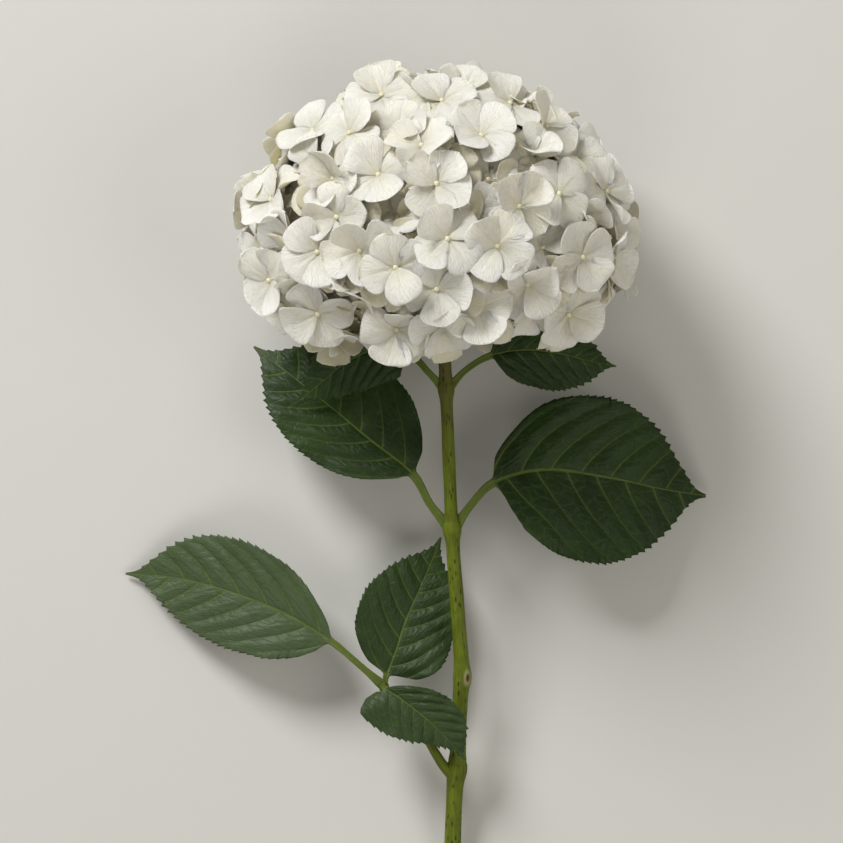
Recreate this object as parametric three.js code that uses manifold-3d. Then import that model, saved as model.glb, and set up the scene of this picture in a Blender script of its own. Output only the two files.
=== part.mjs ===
// A cut mophead hydrangea lying on its side: a woody stem, a side shoot, seven leaves, and a domed flower
// head of four-sepalled florets carried on forking branches. Millimetres and degrees, +Z up, the surface
// it lies on at Z = 0, the stem along Y with the head at its +Y end. The origin is under the middle of it.
import * as THREE from "three";
import Module from "manifold-3d";
import { mergeVertices } from "three/addons/utils/BufferGeometryUtils.js";

// ---------------------------------------------------------------- driving dimensions

// Positions below are measured from the middle of the head's widest level, straight down to the surface.
const HEAD = {
  height: 68, // of its middle above the surface
  halfWidth: 93, // sideways, to the florets' centres
  rise: 83, // from the widest level to the crown of the dome
  drop: 58, // of the ellipsoid below the widest level
  front: 83, // upwards from the middle
  back: 60, // downwards, pressed a little by the head's own weight
  rim: -38, // lowest Y at which a floret grows
  rimTilt: 0.11, // how much the rim rises towards +X
  roundness: 1.9, // exponent of the dome's outline, 2 being an ellipse
};
const FLORET = {
  spacing: 22.5, // between the centres of florets that fill the dome
  sepal: 17.5, // length from the centre to a sepal's tip
  halfWidth: 0.47, // of a sepal, as a share of its length
  shoulder: 0.58, // where along it a sepal is widest
  notch: 0.21, // distance of the cleft between two sepals from the centre, as a share of their length
  thickness: 0.8,
  bud: 0.9, // height of the closed bud in the middle
  neck: 6, // length of the tapered neck under a floret
  neckTop: 2.2, // radius of the neck where it meets the sepals
  pedicel: 0.95, // radius of its stalk
};
const CYME = { count: 42, fork: 0.58, ball: 2 }; // small clusters of florets, each on one fork
const BRANCH = { count: 8, fork: 0.42, crown: 4.3, root: 2.8, tip: 1.15 }; // main rays of the head
const GAP = 0.3; // between pieces that grow from one another, or that would touch
const TOUCH = 0.001; // cubic millimetres that two pieces share before one is cut back
const LEAF = { thickness: 0.8, edge: 0.4, petioleDepth: 0.8 };
const STEM_SIDES = 12;

// The stem's middle line as [x, y, radius]; it slopes evenly from the head down to its cut end.
const STEM = [
  [7, -325, 4.3],
  [7.6, -300, 4.2],
  [8.6, -272, 4.2],
  [9.6, -262, 4.9],
  [10.2, -252, 4.1],
  [11.6, -222, 4.0],
  [12.4, -215, 4.7],
  [12, -207, 3.9],
  [9.5, -175, 3.6],
  [7.4, -147, 3.6],
  [7, -140, 4.4],
  [6.6, -132, 3.4],
  [5.4, -105, 3.2],
  [4.2, -76, 3.2],
  [4, -70, 3.8],
  [3.7, -63, 3.2],
  [3, -50, 3.4],
  [2.6, -43, 4.2],
];
const STEM_TOP = 63; // height of its middle line under the head
const STEM_END = 4.6; // height of its middle line at the cut end
const CUT_SLANT = 35; // of the cut end from square

// Joints of the stem, from which leaves or the side shoot grow: the place of each in STEM.
const JOINTS = { upper: 14, middle: 10, lower: 3 };

// The side shoot as [x, y, z, radius], measured from the lower joint, to the fork of its leaves.
const SHOOT = [
  [-1, -4, -0.6, 2.9],
  [-6, 1.5, 1.4, 2.6],
  [-9.6, 7, 3.4, 2.4],
  [-15.6, 17, 5.4, 2.1],
  [-25.6, 31, 7.4, 2],
  [-34.6, 40, 8.9, 2.2],
  [-38.6, 44, 9.4, 2.6],
];

// Leaves. route runs from the joint that bears the leaf, or from the end of the side shoot, to the leaf's
// tip, measured from that joint, and petiole is the number of its points that belong to the petiole. left
// and right are the blade's half widths seen from the foot, late moves each half's widest part towards the
// tip above 1 and towards the foot below 1, lobe is how far the right half reaches back past the foot,
// stalk is the petiole's radius, roll turns the blade about its midrib, and fold lifts its halves.
const LEAVES = {
  leaf_upper_left: {
    joint: "upper",
    route: [
      [-1, 0.5, 0], [-9, 9, 2.6], [-17, 17, 0.6], [-31, 21, -3.4], [-48, 15, -8.4], [-61, 5, -14.4],
      [-76, -7, -20.4],
    ],
    petiole: 3, left: 17, right: 17, late: [0.85, 1], lobe: 0, stalk: 1.7, roll: -8, fold: 10,
  },
  leaf_upper_right: {
    joint: "upper",
    route: [
      [1, 0.5, 0], [10, 10, 1.6], [22, 17, -0.4], [40, 20, -4.4], [58, 18, -9.4], [72, 14.5, -14.4],
      [85.5, 12, -20.4],
    ],
    petiole: 3, left: 17, right: 18.5, late: [1, 1.1], lobe: 0, stalk: 1.6, roll: 6, fold: 10,
  },
  leaf_middle_left: {
    joint: "middle",
    route: [
      [-1, 0.5, 0.6], [-11, 13, 0], [-19, 27, -2], [-41, 45, -7], [-64, 64, -13], [-83, 79, -19],
      [-100, 92, -27],
    ],
    petiole: 3, left: 27, right: 32, late: [1.25, 1.05], lobe: 0, stalk: 2, roll: 8, fold: 8,
  },
  leaf_middle_right: {
    joint: "middle",
    route: [
      [1, 0.5, 0.6], [10, 13, 1], [20, 23, 0], [45, 30, -4], [79, 26, -13], [107, 20, -24.5],
      [129, 16.5, -39],
    ],
    petiole: 3, left: 39, right: 44, late: [1.15, 1.05], lobe: 0, stalk: 2, roll: -6, fold: 6,
  },
  leaf_shoot_left: {
    joint: "shoot",
    route: [
      [1, -0.5, 0], [-12, 11, 3], [-24, 21, 2], [-45, 34, 0], [-72, 45, -6], [-103, 53, -16.5],
      [-129.5, 55, -24.5],
    ],
    petiole: 3, left: 27, right: 26.5, late: [1.1, 1.35], lobe: 0, stalk: 1.6, roll: -6, fold: 7,
  },
  leaf_shoot_upright: {
    joint: "shoot",
    route: [
      [2, -0.5, -1], [3, 4, -3.5], [8, 17, -3.5], [12.5, 31, -5], [20, 48, -7], [26, 62, -10],
      [30.5, 73.5, -14],
    ],
    petiole: 2, left: 25, right: 25.5, late: [0.95, 0.8], lobe: 0, stalk: 1.5, roll: 5, fold: 8,
  },
  leaf_shoot_right: {
    joint: "shoot",
    route: [
      [1, -0.5, 0.5], [2.5, -2, 6.5], [9, -6, 9], [17, -12, 10], [25.5, -19, 9.5], [34, -27.5, 7],
      [42.5, -38, 2],
    ],
    petiole: 2, left: 15, right: 19, late: [1.4, 0.5], lobe: 9, stalk: 1.4, roll: 4, fold: 12,
  },
};
// A blade's half width along it, as shares of its length and of its widest half.
const BLADE_OUTLINE = [
  [0, 0.07], [0.04, 0.36], [0.12, 0.68], [0.24, 0.92], [0.38, 1], [0.52, 0.97], [0.66, 0.79],
  [0.77, 0.53], [0.85, 0.29], [0.9, 0.14], [0.94, 0.07], [0.97, 0.04], [1, 0.02],
];
const BLADE_STATIONS = [0, 0.03, 0.08, 0.16, 0.26, 0.38, 0.5, 0.62, 0.73, 0.82, 0.89, 0.94, 1];
// Sections lie this much across the straight line from a blade's foot to its tip, and otherwise across
// its curved midrib, so that they never cross one another inside a bend.
const BLADE_SQUARE = 0.6;

// The florets that lead the front of the head, as [x, y, spin, tilt towards straight up].
const LEADERS = [
  [-27, 72, 20, 0.35], [2, 69, 35, 0.3], [20, 51.5, 40, 0.45], [-50, 31, 70, 0.3], [-28, 33, 30, 0.4],
  [-8, 46, 75, 0.1], [-1, 28, 60, 0.3], [38, 18, 50, 0.35], [57, 24, 45, 0.35], [-57, -3, 35, 0.3],
  [-37, -3, 20, 0.4], [-19, -11, 20, 0.4], [4.5, 2.5, 45, 0.4], [-2, -20, 10, 0.5], [27, -1, 55, 0.3],
  [68, -5, 35, 0.3], [18, -29, 20, 0.6], [42, -18, 40, 0.4], [-20, -38, 70, 0.6], [-57, -31, 15, 0.4],
  [50, 57, 60, 0.15], [35, 68, 30, 0.2], [-60, 55, 15, 0.2], [-79, 22, 40, 0.15], [80, 26, 20, 0.1],
  [62, -31, 70, 0.4], [-80, -15, 50, 0.2], [-42, 53, 45, 0.2],
];

// ---------------------------------------------------------------- small helpers

const wasm = await Module();
wasm.setup();
const UP = new THREE.Vector3(0, 0, 1);
const vec = (x, y, z) => new THREE.Vector3(x, y, z);
const degrees = THREE.MathUtils.degToRad;
const mix = (a, b, share) => a.clone().lerp(b, share);

// The same run of even random numbers from 0 to 1 every time.
function randomRun(seed) {
  let state = seed;
  return () => {
    state = (Math.imul(state, 1664525) + 1013904223) >>> 0;
    return state / 2 ** 32;
  };
}

// The mean of some vectors.
function middle(points) {
  const sum = points.reduce((total, p) => total.add(p), vec(0, 0, 0));
  return sum.divideScalar(points.length);
}

// Indices of `count` points spread as far apart as they can be, starting from the first.
function spreadOut(points, count) {
  const picked = [0];
  const nearest = points.map((p) => p.distanceTo(points[0]));
  while (picked.length < Math.min(count, points.length)) {
    const next = nearest.indexOf(Math.max(...nearest));
    picked.push(next);
    points.forEach((p, i) => (nearest[i] = Math.min(nearest[i], p.distanceTo(points[next]))));
  }
  return picked;
}

// The points in groups, each with the picked centre it is nearest to.
function groupsOf(points, count) {
  const centres = spreadOut(points, count);
  const groups = centres.map(() => []);
  points.forEach((p, i) => {
    const away = centres.map((c) => p.distanceTo(points[c]));
    groups[away.indexOf(Math.min(...away))].push(i);
  });
  return groups;
}

// A solid from vertices and triangles.
function solidOf(vertices, triangles) {
  const mesh = new wasm.Mesh({
    numProp: 3,
    vertProperties: new Float32Array(vertices.flatMap((v) => [v.x, v.y, v.z])),
    triVerts: new Uint32Array(triangles.flat()),
  });
  return new wasm.Manifold(mesh);
}

// A three.js geometry as a solid.
function solidOfGeometry(geometry) {
  const bare = geometry.clone().deleteAttribute("normal").deleteAttribute("uv");
  const merged = mergeVertices(bare, 1e-4);
  const mesh = new wasm.Mesh({
    numProp: 3,
    vertProperties: merged.attributes.position.array,
    triVerts: new Uint32Array(merged.index.array),
  });
  return new wasm.Manifold(mesh);
}

// A solid as a three.js geometry.
function geometryOf(solid) {
  const mesh = solid.getMesh();
  return new THREE.BufferGeometry()
    .setAttribute("position", new THREE.BufferAttribute(mesh.vertProperties, 3))
    .setIndex(new THREE.BufferAttribute(mesh.triVerts, 1));
}

// Vertices and triangles of a closed skin through rings of equal count, capped by a fan at each end.
// Each ring runs from the left over the top to the right, looking along the path.
function loft(rings) {
  const sides = rings[0].length;
  const vertices = rings.flat();
  const triangles = [];
  for (let r = 0; r + 1 < rings.length; r++) {
    for (let i = 0; i < sides; i++) {
      const a = r * sides + i;
      const b = r * sides + ((i + 1) % sides);
      triangles.push([a, b, b + sides], [a, b + sides, a + sides]);
    }
  }
  const first = vertices.push(middle(rings[0])) - 1;
  const last = vertices.push(middle(rings.at(-1))) - 1;
  const end = (rings.length - 1) * sides;
  for (let i = 0; i < sides; i++) {
    const next = (i + 1) % sides;
    triangles.push([first, next, i], [last, end + i, end + next]);
  }
  return [vertices, triangles];
}

// A coarse ball.
function ball(at, radius) {
  return solidOfGeometry(new THREE.IcosahedronGeometry(radius, 0)).translate(at.toArray());
}

// Directions across a path at one of its points: side is level, and lift completes the right-handed set.
function crossFrame(along, up = UP) {
  const side = along.clone().cross(up).normalize();
  const lift = side.clone().cross(along).normalize();
  return { side, lift };
}

// A ring of points round a path.
function ring(centre, along, radius, sides, up = UP) {
  const { side, lift } = crossFrame(along, up);
  return Array.from({ length: sides }, (_, i) => {
    const turn = (2 * Math.PI * i) / sides;
    return centre
      .clone()
      .addScaledVector(side, -radius * Math.cos(turn))
      .addScaledVector(lift, radius * Math.sin(turn));
  });
}

// A tapered tube from one point to another.
function tube(from, to, radiusFrom, radiusTo, sides) {
  const along = to.clone().sub(from).normalize();
  const up = Math.abs(along.z) > 0.9 ? vec(0, 1, 0) : UP;
  const rings = [ring(from, along, radiusFrom, sides, up), ring(to, along, radiusTo, sides, up)];
  return solidOf(...loft(rings));
}

// ---------------------------------------------------------------- stem and side shoot

const stemHeight = (y) => {
  const [low, high] = [STEM[0][1], STEM.at(-1)[1]];
  return STEM_END + ((STEM_TOP - STEM_END) * (y - low)) / (high - low);
};
const stemPoints = STEM.map(([x, y]) => vec(x, y, stemHeight(y)));
const stemRadii = STEM.map(([, , radius]) => radius);
const shootPoints = SHOOT.map(([x, y, z]) => vec(x, y, z).add(stemPoints[JOINTS.lower]));
// The middle of the joint that a leaf grows from.
const jointPoint = (joint) => (joint === "shoot" ? shootPoints.at(-1) : stemPoints[JOINTS[joint]]);

// The body of a solid, without slivers.
function bodyOf(solid) {
  const bodies = solid.simplify(0.04).decompose();
  return bodies.reduce((a, b) => (a.volume() > b.volume() ? a : b));
}

// What is left of a solid beside others: where it runs into one, it is cut back to a small gap.
function besideOthers(solid, others) {
  const touched = others.filter((other) => solid.intersect(other).volume() > TOUCH);
  if (!touched.length) return solid;
  const nudges = [vec(0, 0, 0), ...[0, 1, 2].flatMap((k) => {
    return [GAP, -GAP].map((shift) => vec(0, 0, 0).setComponent(k, shift));
  })];
  const copies = touched.flatMap((other) => nudges.map((n) => other.translate(n.toArray())));
  return bodyOf(copies.reduce((left, copy) => left.subtract(copy), solid));
}

// A round stalk through points with a radius at each, its first end cut on a slant.
function stalkSolid(points, radii, sides, slant = 0) {
  const rings = points.map((p, i) => {
    const along = points[Math.min(i + 1, points.length - 1)].clone().sub(points[Math.max(i - 1, 0)]);
    along.normalize();
    return ring(p, along, radii[i], sides);
  });
  const along = points[1].clone().sub(points[0]).normalize();
  const { lift } = crossFrame(along);
  rings[0].forEach((p) => {
    const height = p.clone().sub(points[0]).dot(lift);
    p.addScaledVector(along, height * Math.tan(slant));
  });
  return solidOf(...loft(rings));
}

// ---------------------------------------------------------------- leaves

// The closed section of a leaf at one station, from its left edge over the top to its right edge and back
// underneath: ten points.
function leafSection(centre, side, lift, left, right, top, bottom) {
  const across = [-1, -0.5, 0, 0.5, 1];
  const at = (t, height) => {
    const reach = t < 0 ? left * t : right * t;
    return centre.clone().addScaledVector(side, reach).addScaledVector(lift, height);
  };
  const upper = across.map((t, i) => at(t, top[i]));
  const under = across.map((t, i) => at(t, bottom[i])).reverse();
  return [...upper, ...under];
}

// A blade's half width at a share of its length.
function bladeWidth(share) {
  const i = BLADE_OUTLINE.findIndex(([at]) => at > share);
  if (i < 0) return BLADE_OUTLINE.at(-1)[1];
  const [[from, low], [to, high]] = [BLADE_OUTLINE[i - 1], BLADE_OUTLINE[i]];
  return low + ((high - low) * (share - from)) / (to - from);
}

function leafSolid({ joint, route, petiole, left, right, late, lobe, stalk, roll, fold }) {
  const points = route.map((p) => vec(...p).add(jointPoint(joint)));
  const straight = points.at(-1).clone().sub(points[petiole - 1]).normalize();
  const curve = new THREE.CatmullRomCurve3(points, false, "centripetal");
  curve.arcLengthDivisions = 400;
  const lengths = curve.getLengths(400);
  const total = lengths.at(-1);
  // The blade starts at the last point of the petiole.
  const start = lengths[Math.round((400 * (petiole - 1)) / (route.length - 1))] / total;
  const stations = [0, 0.35, 0.75].map((share) => ({ at: share * start, share: -1 }));
  BLADE_STATIONS.forEach((share) => stations.push({ at: start + share * (1 - start), share }));
  const rings = stations.map(({ at, share }) => {
    const centre = curve.getPointAt(at);
    const square = BLADE_SQUARE * THREE.MathUtils.clamp(share / 0.12, 0, 1);
    const along = mix(curve.getTangentAt(at), straight, square).normalize();
    const { side, lift } = crossFrame(along);
    const turned = degrees(roll) * THREE.MathUtils.clamp(share / 0.15, 0, 1);
    side.applyAxisAngle(along, turned);
    lift.applyAxisAngle(along, turned);
    if (share < 0) {
      // The petiole is a channelled stalk, flat above and round below.
      const depth = stalk * LEAF.petioleDepth;
      const top = [0.1, 0.45, 0.3, 0.45, 0.1].map((h) => h * depth);
      const bottom = [-0.5, -1.1, -1.4, -1.1, -0.5].map((h) => h * depth);
      return leafSection(centre, side, lift, stalk, stalk, top, bottom);
    }
    const halves = [left, right].map((w, i) => Math.max(w * bladeWidth(share ** late[i]), LEAF.edge));
    const rise = Math.tan(degrees(fold));
    // Each half rises from the midrib and levels off towards its edge.
    const heights = [1, 0.5, 0, 0.5, 1].map((t, i) => {
      const half = i < 2 ? halves[0] : halves[1];
      return half * rise * (t - 0.45 * t * t);
    });
    const thick = [LEAF.edge, LEAF.thickness, LEAF.thickness, LEAF.thickness, LEAF.edge];
    const rib = stalk * LEAF.petioleDepth * (1 - share);
    const top = heights.map((h, i) => h + thick[i] / 2);
    const bottom = heights.map((h, i) => h - thick[i] / 2 - (i === 2 ? rib : 0));
    const section = leafSection(centre, side, lift, ...halves, top, bottom);
    const back = lobe * THREE.MathUtils.clamp(1 - share / 0.3, 0, 1) ** 2;
    section.forEach((p) => {
      const right = Math.max(p.clone().sub(centre).dot(side) / halves[1], 0);
      p.addScaledVector(along, -back * right ** 1.5 * Math.min(share / 0.03, 1));
    });
    return section;
  });
  return solidOf(...loft(rings));
}

// ---------------------------------------------------------------- where the florets grow

const headMiddle = vec(0, 0, HEAD.height);
const headHalves = (x, y, z) => {
  return [HEAD.halfWidth, y > 0 ? HEAD.rise : HEAD.drop, z > 0 ? HEAD.front : HEAD.back];
};

// The point of the dome in a direction from its middle, and the way out of the dome there.
function domePoint(direction) {
  const halves = headHalves(direction.x, direction.y, direction.z);
  const shares = direction.toArray().map((d, i) => Math.abs(d) / halves[i]);
  const power = HEAD.roundness;
  const reach = shares.reduce((sum, s) => sum + s ** power, 0) ** (-1 / power);
  const at = direction.clone().multiplyScalar(reach);
  const slope = (d, i) => (Math.sign(d) * (Math.abs(d) / halves[i]) ** (power - 1)) / halves[i];
  const out = vec(...at.toArray().map(slope)).normalize();
  return { at: at.add(headMiddle), out };
}

// The dome above a leading floret's x and y.
function domeFront(x, y) {
  const [halfX, halfY, halfZ] = headHalves(x, y, 1);
  const left = 1 - (Math.abs(x) / halfX) ** HEAD.roundness - (Math.abs(y) / halfY) ** HEAD.roundness;
  return domePoint(vec(x, y, halfZ * Math.max(left, 0) ** (1 / HEAD.roundness)).normalize());
}

// Even directions over a ball, by the golden angle.
function evenDirections(count) {
  const golden = Math.PI * (3 - Math.sqrt(5));
  return Array.from({ length: count }, (_, i) => {
    const y = 1 - (2 * (i + 0.5)) / count;
    const round = Math.sqrt(1 - y * y);
    return vec(round * Math.cos(golden * i), y, round * Math.sin(golden * i));
  });
}

// A floret's frame: its middle faces `out`, and its first sepal points at `spin`.
function floretTurn(out, spin) {
  const turn = new THREE.Quaternion().setFromUnitVectors(UP, out);
  const about = new THREE.Quaternion().setFromAxisAngle(UP, degrees(spin));
  return turn.multiply(about);
}

function placeFlorets() {
  const random = randomRun(7);
  const florets = LEADERS.map(([x, y, spin, tilt]) => {
    const { at, out } = domeFront(x, y);
    const facing = mix(out, UP, tilt).normalize();
    const anchor = at.addScaledVector(out, 2.5);
    return { anchor, out, turn: floretTurn(facing, spin), length: FLORET.sepal * 1.04, lead: true };
  });
  const sites = evenDirections(2400)
    .map(domePoint)
    .filter(({ at }) => at.y > HEAD.rim + HEAD.rimTilt * at.x);
  const nearest = sites.map(({ at }) => Math.min(...florets.map((f) => f.anchor.distanceTo(at))));
  for (;;) {
    const widest = Math.max(...nearest);
    if (widest < FLORET.spacing * 0.82) break;
    const { at, out } = sites[nearest.indexOf(widest)];
    const lean = vec(random() - 0.5, random() - 0.5, random() - 0.5).multiplyScalar(0.9);
    const facing = out.clone().add(lean).normalize();
    const anchor = at.clone().addScaledVector(out, -6 + 7 * random());
    const length = FLORET.sepal * (0.86 + 0.16 * random());
    florets.push({ anchor, out, turn: floretTurn(facing, 360 * random()), length, lead: false });
    sites.forEach((site, i) => (nearest[i] = Math.min(nearest[i], site.at.distanceTo(at))));
  }
  florets.forEach((f) => {
    f.hub = f.anchor.clone();
    f.cup = -0.12 + 0.5 * random();
    f.curl = -0.16 + 0.2 * random();
    f.sepals = [0, 1, 2, 3].map((k) => {
      const about = new THREE.Quaternion().setFromAxisAngle(UP, degrees(90 * k + 10 * (random() - 0.5)));
      // One pair of sepals lies over the other.
      const pitch = (k % 2 ? 9 : 1) + 14 * (random() - 0.4);
      const lift = new THREE.Quaternion().setFromAxisAngle(vec(0, 1, 0), -degrees(pitch));
      return { rest: about.multiply(lift), grown: f.lead ? 0.8 : 0.45 };
    });
    f.rest = f.turn.clone();
    f.sepals.forEach((s) => (s.turn = f.turn.clone().multiply(s.rest)));
  });
  return florets;
}

// Half the width of a sepal, as a share of its length, at a share of the way to its tip.
function sepalHalfWidth(share) {
  const peak = Math.log(0.5) / Math.log(FLORET.shoulder);
  return FLORET.halfWidth * Math.sin(Math.PI * share ** peak) ** 0.62;
}

// A point of a sepal of unit length, in its own frame: x to the tip, y across and z out of its face.
function sepalPoint(share, across, cup, curl) {
  const y = sepalHalfWidth(share) * across;
  return vec(share, y, cup * y * y * 1.2 + curl * share * share);
}

// ---------------------------------------------------------------- how they find room

const ROOM = {
  apart: 2.7, // least distance between the points of two florets
  steps: 520,
  settling: 120, // of those, the last ones, in which the springs are slack
  growth: 0.006, // of a sepal's full length in one step
  swing: 28, // the most that a sepal turns from its place in the floret
  lean: 68, // the most that a floret leans from the line of its stalk
  crowded: 0.5, // a sepal that is pushed further than this stops growing for that step
};

// Lets the sepals grow in steps while florets that touch push each other apart: each floret slides and
// turns as a whole, each sepal also turns about its floret's middle, and springs draw both back.
function makeRoom(florets, cymeForks, obstacles) {
  const spots = [];
  const steps = { 0.2: 1, 0.36: 2, 0.52: 3, 0.68: 3, 0.84: 3, 0.985: 1 };
  Object.entries(steps).forEach(([share, halves]) => {
    for (let i = -halves; i <= halves; i++) spots.push([Number(share), i / halves]);
  });
  const stalkSpots = [4, 7, 10, 13, 16, 19]; // depths under the middle of a floret
  const perFloret = 4 * spots.length + stalkSpots.length;
  const count = florets.length * perFloret;
  const at = new Float64Array(3 * (count + obstacles.length));
  const owner = new Int32Array(count + obstacles.length).fill(-1);
  const push = new Float64Array(3 * count);
  const template = florets.map((f) => spots.map(([share, across]) => sepalPoint(share, across, f.cup, f.curl)));
  obstacles.forEach((p, i) => at.set(p.toArray(), 3 * (count + i)));
  // A grid of cells over everything that may touch.
  const margin = 2.5 * FLORET.sepal;
  const low = [-HEAD.halfWidth - margin, -HEAD.drop - margin, -margin];
  const high = [HEAD.halfWidth + margin, HEAD.rise + margin, HEAD.height + HEAD.front + margin];
  const cells = high.map((h, k) => Math.ceil((h - low[k]) / ROOM.apart));
  const heads = new Int32Array(cells[0] * cells[1] * cells[2]);
  const next = new Int32Array(count + obstacles.length);
  const cellOf = (i) => {
    let index = 0;
    for (let k = 0; k < 3; k++) {
      const c = Math.floor((at[3 * i + k] - low[k]) / ROOM.apart);
      index = index * cells[k] + Math.min(Math.max(c, 1), cells[k] - 2);
    }
    return index;
  };
  const around = [-1, 0, 1];
  const neighbours = around.flatMap((x) => {
    return around.flatMap((y) => around.map((z) => (x * cells[1] + y) * cells[2] + z));
  });
  const p = vec(0, 0, 0);

  function placeSpots() {
    let n = 0;
    florets.forEach((f, index) => {
      f.sepals.forEach((s) => {
        template[index].forEach((spot) => {
          p.copy(spot).multiplyScalar(f.length * s.grown).applyQuaternion(s.turn).add(f.hub);
          at.set([p.x, p.y, p.z], 3 * n);
          owner[n++] = index;
        });
      });
      const down = cymeForks[index].clone().sub(f.hub).normalize();
      stalkSpots.forEach((depth) => {
        p.copy(f.hub).addScaledVector(down, depth);
        at.set([p.x, p.y, p.z], 3 * n);
        owner[n++] = index;
      });
    });
  }

  function pushApart() {
    push.fill(0);
    heads.fill(-1);
    for (let i = 0; i < count + obstacles.length; i++) {
      const cell = cellOf(i);
      next[i] = heads[cell];
      heads[cell] = i;
    }
    for (let i = 0; i < count; i++) {
      const cell = cellOf(i);
      for (const shift of neighbours) {
        for (let j = heads[cell + shift]; j >= 0; j = next[j]) {
          if (owner[j] === owner[i] || (j < i && j < count)) continue;
          const dx = at[3 * i] - at[3 * j];
          const dy = at[3 * i + 1] - at[3 * j + 1];
          const dz = at[3 * i + 2] - at[3 * j + 2];
          const square = dx * dx + dy * dy + dz * dz;
          if (square >= ROOM.apart ** 2) continue;
          const distance = Math.sqrt(square) + 1e-9;
          const share = (ROOM.apart - distance) / distance / (j < count ? 2 : 1);
          [dx, dy, dz].forEach((d, k) => {
            push[3 * i + k] += d * share;
            if (j < count) push[3 * j + k] -= d * share;
          });
        }
      }
      const under = 1.2 - at[3 * i + 2];
      if (under > 0) push[3 * i + 2] += under;
    }
  }

  // Slides and turns one floret and its sepals by what pushes their points.
  function answer(f, index, hold) {
    const slide = vec(0, 0, 0);
    const twist = vec(0, 0, 0);
    const arm = vec(0, 0, 0);
    const d = vec(0, 0, 0);
    let pushed = 0;
    let turning = 0;
    let n = index * perFloret;
    f.sepals.forEach((s) => {
      s.twist = vec(0, 0, 0);
      s.load = 0;
      let leverage = 0;
      for (let i = 0; i < spots.length; i++, n++) {
        d.fromArray(push, 3 * n);
        if (d.lengthSq() < 1e-12) continue;
        arm.fromArray(at, 3 * n).sub(f.hub);
        slide.add(d);
        pushed += 1;
        leverage += arm.lengthSq();
        s.load = Math.max(s.load, d.length());
        s.twist.add(arm.clone().cross(d));
      }
      twist.add(s.twist);
      turning += leverage;
      s.twist.divideScalar(leverage + 2 * f.length ** 2);
    });
    for (let i = 0; i < stalkSpots.length; i++, n++) {
      d.fromArray(push, 3 * n);
      if (d.lengthSq() < 1e-12) continue;
      slide.add(d);
      pushed += 1;
    }
    const ease = f.lead ? 0.35 : 0.7;
    f.hub.addScaledVector(slide, ease / (pushed + 4));
    f.hub.lerp(f.anchor, (f.lead ? 0.08 : 0.02) * hold);
    twist.divideScalar(turning + 4 * f.length ** 2).multiplyScalar(ease);
    turnBy(f.turn, twist);
    f.turn.slerp(f.rest, (f.lead ? 0.06 : 0.012) * hold);
    const facing = vec(0, 0, 1).applyQuaternion(f.turn);
    const outwards = f.hub.clone().sub(cymeForks[index]).normalize();
    const over = facing.angleTo(outwards) - degrees(ROOM.lean);
    if (over > 0) turnBy(f.turn, facing.cross(outwards).normalize().multiplyScalar(over));
    f.sepals.forEach((s) => {
      turnBy(s.turn, s.twist.multiplyScalar(1.1).add(twist));
      const home = f.turn.clone().multiply(s.rest);
      const away = s.turn.angleTo(home);
      s.turn.slerp(home, Math.max(0.02 + 0.04 * hold, 1 - degrees(ROOM.swing) / away));
      if (s.load < ROOM.crowded) s.grown = Math.min(1, s.grown + ROOM.growth);
    });
  }

  for (let step = 0; step < ROOM.steps; step++) {
    placeSpots();
    pushApart();
    const hold = step < ROOM.steps - ROOM.settling ? 1 : 0.05;
    florets.forEach((f, index) => answer(f, index, hold));
  }
}

// Turns a quaternion by a small turn given as axis times angle.
function turnBy(quaternion, turn) {
  const angle = turn.length();
  if (angle > 1e-12) {
    quaternion.premultiply(new THREE.Quaternion().setFromAxisAngle(turn.clone().divideScalar(angle), angle));
  }
}

// ---------------------------------------------------------------- florets, cymes and branches

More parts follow.
